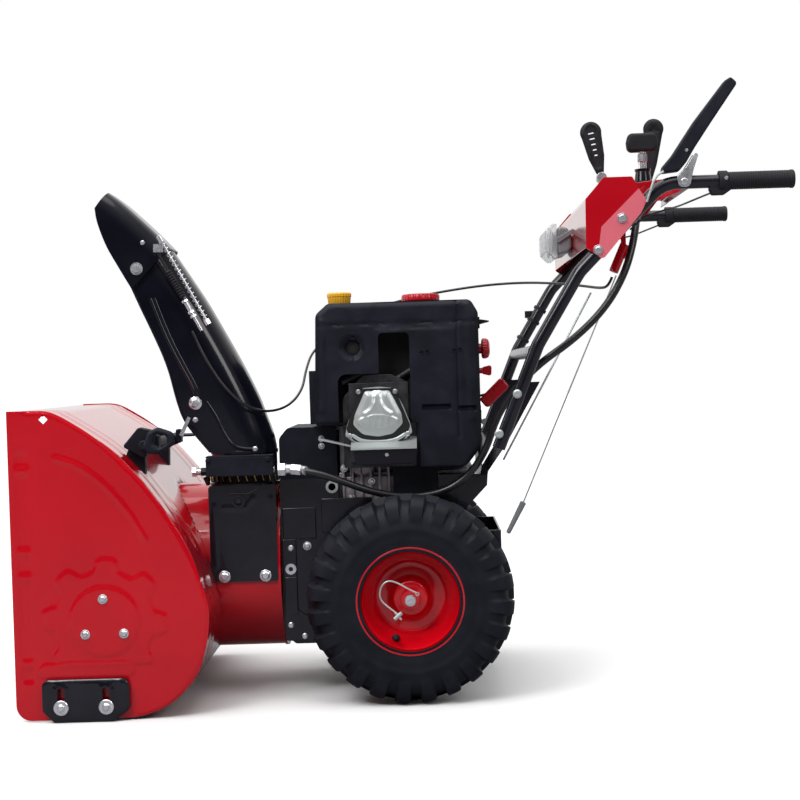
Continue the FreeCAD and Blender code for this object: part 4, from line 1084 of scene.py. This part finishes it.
pull = Shape()
pull.slab(rounded([(137, 509, 5), (151, 492, 6), (192, 530, 6), (178, 549, 6)], 5), -53, -27)
bevel(pull.make("recoil_grip", RED_PLASTIC, "recoil", ["recoil_handle"]), 3, 3)
grooves = Shape()
for k in range(5):
    at = Vector((156 + 7.0 * k, 0, 507 + 6.6 * k))
    side = Vector((10, 0, -11)).normalized() * 5
    for y in (-53.3, -28.2):
        grooves.rod(at - side + Vector((-4, y, 4)), at + side + Vector((-4, y + 1.5, 4)), 0.9, 8)
grooves.make("recoil_ribs", RED_PLASTIC, "recoil")
rope = Shape().sweep([(132 + 3 * k, -40, 514 + 0.7 * k) for k in range(8)], 2.2, 10)
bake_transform(rope.make("recoil_rope", SOFT_BLACK, None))

# =================================================== handles, grips, panel
TRACK, GRIP_X = 300.0, 533.0
rings = [(11.2, 0), (16.6, 0), (17, 0.8), (17, 13.5), (15.4, 15)]
for k in range(26):
    rings += [(14.9, 16 + 3.9 * k), (14.35, 17 + 3.9 * k), (14.35, 18.2 + 3.9 * k),
              (14.9, 19.2 + 3.9 * k)]
rings += [(15.3, 118), (15.3, 122), (13.6, 124), (0, 124)]
for side, sign in SIDES:
    y = sign * TRACK
    sleeve = Shape().lathe(rings, (GRIP_X, y, 861), X, 48)
    sleeve.make("grip_sleeve_" + side, SOFT_BLACK, "machine", ["grips"] if sign < 0 else [],
                angle=25)
    lobe = Shape().slab(rounded([(517, 847, 3), (521, 838, 4), (541, 838, 4), (556, 848, 2),
                                 (548, 858, 3), (518, 858, 3)]), y - 8, y + 8)
    bevel(lobe.make("grip_lobe_" + side, SOFT_BLACK, "machine"), 2, 2)
    pin = Shape().lathe([(0, 0), (3.4, 0), (3, 1.8), (0, 2.2)], (543, y + sign * 16.6, 864),
                        Y * sign, 20)
    pin.make("grip_screw_" + side, ZINC, "machine")
    wire = curve_points([(520, y, 842), (498, y * 0.99, 834), (466, y * 0.97, 822),
                         (436, y * 0.93, 816), (408, y * 0.88, 806), (392, y * 0.84, 790)], 8)
    Shape().sweep(wire, 1.6, 8).make("grip_wire_" + side, CABLE, "machine")
    bolts = Shape()
    for x, z in ((191, 521), (159, 456)):
        bolts.lathe([(0, 0), (7.6, 0), (7.2, 2.4), (5, 4.4), (0, 5.2)],
                    (x, sign * (TRACK + 10.6), z), Y * sign, 32)
    bolts.make("handle_bolts_" + side, BRIGHT, "machine", ["fasteners"] if sign < 0 else [])

CHEEK_Y = 311.4
UPPER_CHEEK = rounded([(311, 757, 2), (312, 837, 5), (343, 872, 5), (390, 872, 5), (400, 852),
                       (337, 791, 6), (330, 744)], 5)
LOWER_CHEEK = rounded([(400, 852), (413, 832, 6), (403, 812, 8), (338, 737, 7), (330, 744),
                       (337, 791, 6)], 5)
# The lower part of each cheek, below the crease, is a paler pink red: a painted reflection of the
# bright studio light on that face.
PAINTED_SHEEN_RED = finish("red_paint", "painted_sheen_enamel", (0.78, 0.16, 0.20), 0.3, coat=0.8, tint=0.05,
               grain=6)
for side, sign in SIDES:
    stamped("dash_cheek_" + side, UPPER_CHEEK, 5, lambda a, b: 3 + 0 * a, on_side(sign, CHEEK_Y),
            WET_RED, "machine", ["dash_panel"] if sign < 0 else [], gauge=3)
    stamped("dash_flange_" + side, LOWER_CHEEK, 4,
            lambda a, b: 3 - 0.05 * near_line(a, b, [(400, 852), (337, 791), (330, 744)]),
            on_side(sign, CHEEK_Y), PAINTED_SHEEN_RED, "machine", gauge=2.4)


def sheet_outline(path, gauge):
    """Thicken an open line to its right."""
    line = [Vector(p) for p in path]
    inner = []
    for i, here in enumerate(line):
        run = (line[min(i + 1, len(line) - 1)] - line[max(i - 1, 0)]).normalized()
        inner.append(here + Vector((run.y, -run.x)) * gauge)
    return [tuple(p) for p in line + inner[::-1]]


dash = Shape()
dash.slab(sheet_outline(rounded([(311, 759), (313, 836, 10), (346, 872, 10), (391, 872)], 5),
                        2.5), -311.8, 311.8)
dash.slab(sheet_outline([(388, 872), (430, 876), (512, 884)], 2.5), -200, 200)
dash.slab(sheet_outline([(509, 884), (514, 880), (512, 868)], 2.0), -200, 200)
for y in (-200, 198):
    dash.slab([(404, 872), (505, 882), (484, 856), (432, 836)], y, y + 2)
bevel(dash.make("dash_sheet", WET_RED, "machine"), 0.6, 2)
# Thin dark strips in the shade black for the panel's openings: painted shade in the holes.
openings = Shape()
openings.block((345, -208, 872), (378, -192, 872.5))
openings.slab([(444, 877.8), (506, 883.9), (506, 884.4), (444, 878.3)], 113, 127)
openings.make("panel_slot_shade", SHADOW, "machine")

lamp = Shape()
lamp.slab(rounded([(284, 764, 5), (284, 818, 8), (303, 812, 8), (310.6, 800), (310.6, 776),
                   (304, 768, 6)], 5), -70, 70)
bevel(lamp.make("lamp_body", GREY, "machine", ["headlamp_housing"]), 5, 3)
brace = Shape()
for y in (-74, 71):
    brace.slab(rounded([(283, 783, 4), (312, 801, 2), (316, 812, 2), (281, 793, 4)], 3), y, y + 3)
bevel(brace.make("lamp_arm", GREY, "machine"), 0.8, 2)
lens = Shape().slab(rounded([(262, 772, 12), (262, 808, 12), (276, 820, 6), (283.8, 820, 2),
                             (283.8, 758, 2), (276, 758, 8)], 6), -74, 74)
bevel(lens.make("lamp_lens", LENS, "machine", ["headlamp_lens"]), 5, 3)
flutes = Shape()
for k in range(15):
    flutes.rod((264.5, -63 + 9 * k, 770), (264.5, -63 + 9 * k, 808), 1.4, 8)
flutes.make("lens_flutes", LENS, "machine")
reflector = Shape()
for y in (-34, 34):
    reflector.lathe([(0, 8), (14, 6), (24, 0), (24, -1), (0, 6)], (276, y, 789), X, 32)
reflector.make("reflectors", BRIGHT, "machine")


# ------------------------------------------------------------------- levers
def lever(name, foot, head, radius, y, body, nodes, slots=(), recess=None):
    """Moulded lever: round head tapering to the foot, with (place, half width) slots."""
    foot, head = Vector(foot), Vector(head)
    up = (head - foot).normalized()
    side = Vector((up.y, -up.x))
    loop = []
    for k in range(25):
        a = math.radians(-20 + 220 * k / 24)
        loop.append(tuple(head + side * radius * math.cos(a) + up * radius * math.sin(a)))
    mid = foot.lerp(head, 0.45)
    loop += [tuple(mid - side * radius * 0.74), tuple(foot + up * 8 - side * 6),
             tuple(foot + side * 6 + up * 8), tuple(mid + side * radius * 0.74)]
    holes = []
    for t, wide in slots:
        c = foot.lerp(head, t)
        holes.append([tuple(c + side * wide * i + up * 1.6 * j)
                      for i, j in ((-1, -1), (1, -1), (1, 1), (-1, 1))])

    def relief(a, b):
        lift = 3.5 + 5.0 * smooth_step(0, 5, near_line(a, b, loop + loop[:1]))
        if slots:
            spine = near_line(a, b, [tuple(foot.lerp(head, 0.3)), tuple(foot.lerp(head, 1.05))])
            lift = lift - 2.6 * (1 - smooth_step(radius * 0.36, radius * 0.5, spine))
        if recess:
            lift = lift - 3.0 * smooth_step(0, 1.5, signed(a, b, recess))
        return lift

    stamped(name, loop, 3.0, relief, lambda a, b, h: (a, y - h, b), SOFT_BLACK, body, nodes,
            holes=holes, angle=60, moulded=True)
    barrel = Shape().rod((foot.x, y - 10, foot.y), (foot.x, y + 10, foot.y), 8.8, 28, 0.8)
    barrel.make(name + "_barrel", ZINC, body)
    root = Vector((foot.x, y, foot.y))
    tang = Shape().rod(root, root + Vector((up.x, 0, up.y)) * 13, 5, 20, 0.5)
    tang.make(name + "_tang", ZINC, body)


lever("deflector_handle", (352, 884), (336, 962), 18, -200, "deflector_lever",
      ["deflector_lever"], [(0.98, 5.5), (0.86, 5.0), (0.74, 4.4), (0.62, 3.8), (0.5, 3.2)])
lever("speed_handle", (472, 892), (489, 1010), 19, 120, "speed_lever", ["speed_lever"],
      recess=[(478, 1003), (500, 1003), (489, 1018)])

KNOB_X = 431
knob = Shape().slab(rounded([(KNOB_X - 26, 933, 9), (KNOB_X + 25, 934, 9), (KNOB_X + 27, 950, 12),
                             (KNOB_X + 24, 966, 9), (KNOB_X - 24, 966, 9),
                             (KNOB_X - 28, 950, 12)], 5), -150, -130)
bevel(knob.make("crank_knob", SOFT_BLACK, "chute_knob", ["chute_knob"]), 5, 4)
ferrule = Shape().rod((KNOB_X, -140, 904), (KNOB_X, -140, 934), 6.8, 24, 0.5)
ferrule.rod((KNOB_X, -140, 916), (KNOB_X, -140, 930), 9.5, 6, 1)
ferrule.make("knob_ferrule", ZINC, "chute_knob")
foot = Shape().lathe([(0, 0), (20, 0), (20, 2), (15, 4), (12.5, 20), (14, 22), (14, 25), (0, 25)],
                     (KNOB_X, -140, 878.6), Z, 40)
foot.make("knob_foot", GLOSS, "machine", ["control_brackets"])
bracket = Shape()
bracket.rod((367, -207, 722), (388, -207, 769), 8, 32, 1)
bracket.block((382, -215, 764), (389, -200, 869))
bracket.slab(rounded([(388, 742, 2), (402, 758, 2), (400, 762, 1), (384, 750, 2)], 3), -214, -201)
bevel(bracket.make("cable_bracket", RED, "machine"), 1, 2)

bar = Shape().slab(rounded([(438, 876, 3), (441, 887, 4), (457, 905, 8), (494, 959, 60),
                            (546, 1024, 6), (556, 1030, 4), (567, 1020, 6), (523, 958, 60),
                            (494, 916, 20), (480, 893, 6), (468, 879, 5)], 6), -313, -287)
bevel(bar.make("drive_bar", PLASTIC, "clutch_left", ["clutch_lever_left"]), 3.5, 3)
tear = Shape()
for y in (-315.6, -288.2):
    tear.slab(rounded([(466, 852, 8), (484, 852, 8), (490, 878, 4), (499, 904, 2), (494, 908, 2),
                       (478, 884, 6), (463, 868, 6)], 6), y, y + 2)
tear.bolt((475, -315.6, 861), -Y, 7, washer=False)
tear.rod((475, -288, 861), (475, -283, 861), 5, 20, 0.5)
bevel(tear.make("drive_pivot_plate", ZINC, "clutch_left"), 0.7, 2, angle=50)
stud = Shape().lathe([(0, 0), (3, 0), (2.6, 1.6), (0, 2)], (480, -313, 912), -Y, 18)
stud.make("bar_rivet", ZINC, "clutch_left")
right_bar = Shape().slab(rounded([(441, 853, 7), (560, 851.5, 40), (648, 853, 7), (648, 869, 7),
                                  (560, 870.5, 40), (441, 869, 7)], 6), 316, 321)
right_bar.rod((475, 311.4, 861), (475, 323, 861), 5, 24, 0.6)
bevel(right_bar.make("auger_bar", PLASTIC, "clutch_right", ["clutch_lever_right"]), 1.5, 3)

# ------------------------------------------------------- cables and linkages
FLEX = [(-198, WORM.y, 400), (-158, -172, 394), (-112, -166, 377), (-62, -157, 356),
        (0, -150, 343), (64, -150, 349), (112, -152, 378), (143, -162, 424), (158, -190, 474),
        (186, -226, 522), (232, -256, 570), (290, -268, 608), (344, -268, 658), (380, -262, 716),
        (399, -246, 774), (410, -214, 824), (421, -168, 850), (430, -140, 865)]
conduit = Shape().sweep(curve_points(FLEX, 8), 6.4, 16)
conduit.make("flex_conduit", CABLE, "machine", ["flex_shaft"])
coupling = Shape()
coupling.rod((-222, WORM.y, 400), (-208, WORM.y, 400), 12, 6, 1)
coupling.rod((-208, WORM.y, 400), (-198, WORM.y, 400), 8.4, 24, 0.6)
coupling.rod((-199, WORM.y, 400), (-181, WORM.y - 1.5, 398), 10, 6, 1)
coupling.rod((-181, WORM.y - 1.5, 398), (-172, -172.6, 396.4), 8, 24, 1)
coupling.make("flex_coupling", ZINC, "machine")
CABLE_LINE = [(-363, -164.5, 646), (-352, -168, 620), (-334, -170, 584), (-308, -170, 544),
              (-276, -160, 512), (-240, -132, 499), (-206, -70, 508), (-188, 20, 536),
              (-186, 90, 572), (-176, 166, 612), (-118, 202, 656), (-46, 198, 692),
              (20, 194, 708), (90, 190, 719), (164, 180, 727), (236, 110, 726), (295, 0, 716),
              (330, -80, 706), (350, -150, 698), (360, -188, 699), (364.5, -203, 713)]
hood_cable = Shape().sweep(curve_points(CABLE_LINE, 8), 2.4, 10)
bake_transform(hood_cable.make("hood_cable", CABLE, None, ["deflector_cable"]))
links = Shape()
links.rod((371, -212, 716), (205, -156, 330), 1.3, 8)
for y in (56, 64):
    links.rod((355, y, 700), (182, y, 392), 1.7, 12)
links.sweep([(441, -318, 878), (431, -318, 872), (424, -317, 862), (412, -316, 829)], 2.0, 10)
links.make("thin_links", BRIGHT, "machine", ["control_rods"])
sleeve = Shape().rod((205, -156, 330), (176, -156, 276), 5.4, 20, 1.5, tip=4)
sleeve.make("cable_sleeve", GREY, "machine")
ties = Shape()
for x, z in ((276, 680), (262, 657), (240, 621)):
    ties.lathe([(11.2, -3), (13.2, -3), (13.2, 3), (11.2, 3)], (x, 300, z), (72, 0, 118), 28,
               closed=True)
ties.block((246, 304, 664), (268, 314, 678))
ties.make("cable_ties", SOFT_BLACK, "machine")

# ================================================= shoes, bolts, tool, auger
SHOE = rounded([(-611, 20, 10), (-592, 0, 5), (-492, 0, 5), (-466, 20, 10), (-466, 71, 12),
                (-611, 71, 12)], 6)
SHOE_BOLTS = (-579, -504)
SHOE_SLOTS = [rounded([(x - 6, 18, 5.9), (x + 6, 18, 5.9), (x + 6, 58, 5.9), (x - 6, 58, 5.9)], 5)
              for x in SHOE_BOLTS]


def shoe_relief(a, b):
    edge = near_line(a, b, SHOE + SHOE[:1])
    lift = -2.0 * (1 - smooth_step(0, 3.5, edge)) ** 2
    for x in SHOE_BOLTS:
        lift = lift + 1.2 * (1 - smooth_step(11, 13, near_line(a, b, [(x, 24), (x, 52)])))
    return lift - 1.2


for side, sign in SIDES:
    stamped("runner_" + side, SHOE, 4, shoe_relief, on_side(sign, SIDE_FACE + 2.3 + 12), BLACK,
            "shoe_" + side, ["skid_shoe_" + side], gauge=10.8, holes=SHOE_SLOTS, angle=45)

bolts = Shape()
for angle in (92, 212, 328):
    turn = math.radians(angle)
    bolts.bolt((BEARING.x + 38 * math.cos(turn), -SIDE_FACE - 2.3, BEARING.z + 38 * math.sin(turn)),
               -Y, 7)
for x in SHOE_BOLTS:
    bolts.rod((x, -309, 25), (x, -322, 25), 4.5, 16)
    bolts.lathe([(0, 0), (12.5, 0), (12.5, 1.2), (11.5, 2), (0, 2)], (x, -321.5, 25), -Y, 36)
    bolts.bolt((x, -323.2, 25), -Y, 8, washer=False)
for x, z in ((-206, 259), (-177, 262), (-210, 123), (-186, 103)):
    bolts.bolt((x, -135, z), -Y, 6.5)
bolts.lathe([(4, 0), (9.6, 0), (9.6, 2.4), (4, 2.4)], (-207, -135, 222), -Y, 32, closed=True)
bolts.bolt((371.5, -314.2, 804.5), -Y, 7)
bolts.bolt((330.6, -314.2, 753.4), -Y, 7)
bolts.mirror()
for x in (-322, -250):
    bolts.bolt((x, CHUTE_Y - 63.4, 214), -Y, 9)
bolts.make("hex_bolts", ZINC, "machine", angle=30)

chassis_trim = Shape()
for x0, x1, z0, z1 in ((-219, -196, 140, 208), (-219, -160, 275, 330), (-150, -60, 285, 345)):
    chassis_trim.block((x0, -137.5, z0), (x1, -134, z1))
chassis_trim.slab(rounded([(-221, 96, 6), (-170, 92, 6), (-160, 128, 10), (-196, 150, 8),
                           (-196, 275, 4), (-221, 275, 3)], 5), -137, -134)
chassis_trim.mirror()
bevel(chassis_trim.make("chassis_plates", BLACK, "machine"), 2.0, 3)

# Clean-out tool: looped handle, shaft and paddle, held by two clips.
loop = rounded([(-436, 450, 8), (-426, 476, 8), (-410, 484, 8), (-382, 474, 12), (-382, 454, 10),
                (-410, 438, 12), (-428, 440, 6)], 5)
eye_hole = rounded([(-418, 456, 4), (-414, 472, 4), (-396, 470, 6), (-393, 458, 6), (-408, 449, 6)],
                   4)


def loop_relief(a, b):
    return 3.0 + 3.0 * smooth_step(0, 4, np.minimum(near_line(a, b, loop + loop[:1]),
                                                   near_line(a, b, eye_hole + eye_hole[:1])))


stamped("tool_handle", loop, 3, loop_relief, lambda a, b, h: (a, -282 - h, b), PLASTIC, "tool",
        ["cleanout_tool"], holes=[eye_hole], angle=60, moulded=True)
shaft = Shape().rod((-436, -279, 454), (-436, 130, 454), 8, 24, 1)
shaft.slab(rounded([(-476, 128, 6), (-406, 122, 12), (-406, 208, 12), (-476, 208, 12)], 5), 452,
           456, "XY")
bevel(shaft.make("tool_shaft", PLASTIC, "tool"), 0.8, 2)
clips = Shape()
for y in (-237, 18):
    clips.slab(rounded([(-460, 470, 5), (-446, 470, 3), (-446.5, 456, 2), (-444, 446, 6),
                        (-428, 446, 6), (-427, 456, 2), (-426, 470, 3), (-416, 470, 5),
                        (-416, 446, 3), (-440, 437, 4), (-441, 402), (-473, 435)], 4), y, y + 22)
clips.slab(rounded([(-474, 452, 4), (-446, 484, 6), (-420, 477, 6), (-436, 430, 4)], 4), -262, -237)
bevel(clips.make("tool_clips", PLASTIC, "machine", ["tool_clip"]), 1.5, 2)


def auger_flight(name, sign, nodes):
    """Serrated ribbon screw with notched outer edge, flat spokes and a sleeve."""
    steps, pitch, outer, ribbon = 240, 218.0, 142.0, 34.0
    verts, faces = [], []

    def at(angle, r, along):
        return (BEARING.x + r * math.cos(angle), sign * (270 - along),
                BEARING.z - r * math.sin(angle))

    for k in range(steps + 1):
        angle = 2 * math.pi * k / steps
        notch = (k / 8) % 1
        reach = outer - 9 * max(0.0, 1 - abs(notch - 0.5) * 4)
        for r, w in ((outer - ribbon, -2), (reach, -2), (reach, 2), (outer - ribbon, 2)):
            verts.append(at(angle, r, pitch * k / steps + w))
    for k in range(steps):
        for i in range(4):
            j = (i + 1) % 4
            faces.append([4 * k + i, 4 * k + j, 4 * k + 4 + j, 4 * k + 4 + i])
    faces += [[0, 1, 2, 3], [4 * steps + 3, 4 * steps + 2, 4 * steps + 1, 4 * steps]]
    screw = Shape().add(verts, faces)
    for turn in (0.08, 0.5, 0.92):
        angle = 2 * math.pi * turn
        ray = Vector((math.cos(angle), 0, -math.sin(angle)))
        side = Vector((math.sin(angle), 0, math.cos(angle)))
        root = Vector((BEARING.x, sign * (270 - pitch * turn), BEARING.z))
        corners = [root + ray * r + side * s * wide + Y * t for r, wide in ((13, 15), (118, 10))
                   for s in (-1, 1) for t in (-2.5, 2.5)]
        screw.add(corners, [(0, 1, 3, 2), (4, 6, 7, 5), (0, 4, 5, 1), (2, 3, 7, 6), (0, 2, 6, 4),
                            (1, 5, 7, 3)])
    screw.lathe([(12, -6), (17, -6), (17, 224), (12, 224)], (BEARING.x, sign * 270, BEARING.z),
                Y * -sign, 40, closed=True)
    screw.lathe([(12, 96), (19, 96), (19, 120), (12, 120)], (BEARING.x, sign * 270, BEARING.z),
                Y * -sign, 6, closed=True)
    screw.make(name, BLACK, "auger", nodes, angle=35)


for side, sign in SIDES:
    auger_flight("auger_screw_" + side, sign, ["auger_flights"] if sign < 0 else [])
gear_bolts = Shape()
for k in range(8):
    a = 2 * math.pi * (k + 0.5) / 8
    for sign in (-1, 1):
        gear_bolts.bolt((BEARING.x + 50 * math.cos(a), sign * 26, BEARING.z + 50 * math.sin(a)),
                        Y * sign, 5, washer=False)
gear_bolts.make("gearbox_bolts", ZINC, "machine")

# ===================================================== camera, light, floor
sight = Matrix(((0.99938012, 0.03140679, 0.01590595), (0.01533302, 0.01839963, -0.99971313),
                (-0.03169044, 0.99933731, 0.01790666)))
camera_data = bpy.data.cameras.new("camera")
camera_data.sensor_width = 36
camera_data.lens = 73.35
camera = bpy.data.objects.new("camera", camera_data)
camera.matrix_world = Matrix.Translation((0.04020849, -3.0, 0.5652646)) @ sight.to_4x4()
bpy.context.scene.camera = show(camera)


def softbox(name, spot, target, size, power):
    lamp_data = bpy.data.lights.new(name, "AREA")
    lamp_data.shape, lamp_data.size, lamp_data.size_y = "RECTANGLE", *size
    lamp_data.energy = power
    lamp = show(bpy.data.objects.new(name, lamp_data))
    lamp.location = spot
    lamp.rotation_euler = (Vector(target) - Vector(spot)).to_track_quat("-Z", "Y").to_euler()


softbox("key", (-1.5, -2.2, 2.6), (-0.1, 0, 0.45), (1.2, 1.2), 46)
softbox("fill", (2.0, -2.4, 2.2), (0, 0, 0.5), (1.0, 1.2), 22)
softbox("strip", (-2.4, 0.3, 1.6), (-0.3, 0, 0.6), (0.4, 2.0), 12)
ceiling = bpy.data.lights.new("ceiling", "SUN")
ceiling.energy, ceiling.angle = 2.35, math.radians(70)
ceiling_light = show(bpy.data.objects.new("ceiling", ceiling))
ceiling_light.rotation_euler = (math.radians(12), math.radians(-8), 0)

# White to the camera; reflections see it dark towards the camera and light behind and above.
world = bpy.data.worlds.new("studio")
world.use_nodes = True
backdrop = world.node_tree.nodes["Background"]
backdrop.inputs["Color"].default_value = (1, 1, 1, 1)
sky_nodes, sky_links = world.node_tree.nodes, world.node_tree.links
way = sky_nodes.new("ShaderNodeTexCoord")
split = sky_nodes.new("ShaderNodeSeparateXYZ")
glow = []
for axis, low, high, gain in (("Z", 0.1, 0.9, 0.55), ("Y", -0.1, 0.7, 0.8)):
    fade = sky_nodes.new("ShaderNodeMapRange")
    for label, number in (("From Min", low), ("From Max", high), ("To Min", 0.01),
                          ("To Max", gain)):
        fade.inputs[label].default_value = number
    sky_links.new(split.outputs[axis], fade.inputs["Value"])
    glow.append(fade)
total = sky_nodes.new("ShaderNodeMath")
sky_links.new(glow[0].outputs["Result"], total.inputs[0])
sky_links.new(glow[1].outputs["Result"], total.inputs[1])
seen = sky_nodes.new("ShaderNodeLightPath")
pick = sky_nodes.new("ShaderNodeMix")
pick.inputs["B"].default_value = 1.0
sky_links.new(way.outputs["Generated"], split.inputs["Vector"])
sky_links.new(seen.outputs["Is Camera Ray"], pick.inputs["Factor"])
sky_links.new(total.outputs["Value"], pick.inputs["A"])
sky_links.new(pick.outputs["Result"], backdrop.inputs["Strength"])
bpy.context.scene.world = world
bpy.context.scene.view_settings.view_transform = "Standard"

floor_mesh = bpy.data.meshes.new("floor")
reach = 30
floor_mesh.from_pydata([(reach * x, reach * y, -0.0005) for x, y in
                        ((-1, -1), (1, -1), (1, 1), (-1, 1))], [], [(0, 1, 2, 3)])
# Pale to the camera, darker to reflected and bounced light.
pale = material("floor_paint", (0.86, 0.86, 0.86), 0.6, tint=0.01, grain=2)
shade = pale.node_tree.nodes.new("ShaderNodeMix")
shade.data_type = "RGBA"
shade.inputs["A"].default_value = (0.22, 0.22, 0.24, 1)
shade.inputs["B"].default_value = (0.88, 0.88, 0.88, 1)
sight_line = pale.node_tree.nodes.new("ShaderNodeLightPath")
pale.node_tree.links.new(sight_line.outputs["Is Camera Ray"], shade.inputs["Factor"])
pale.node_tree.links.new(shade.outputs["Result"],
                         pale.node_tree.nodes["Principled BSDF"].inputs["Base Color"])
floor_mesh.materials.append(pale)
show(bpy.data.objects.new("floor", floor_mesh))

bpy.context.view_layer.update()
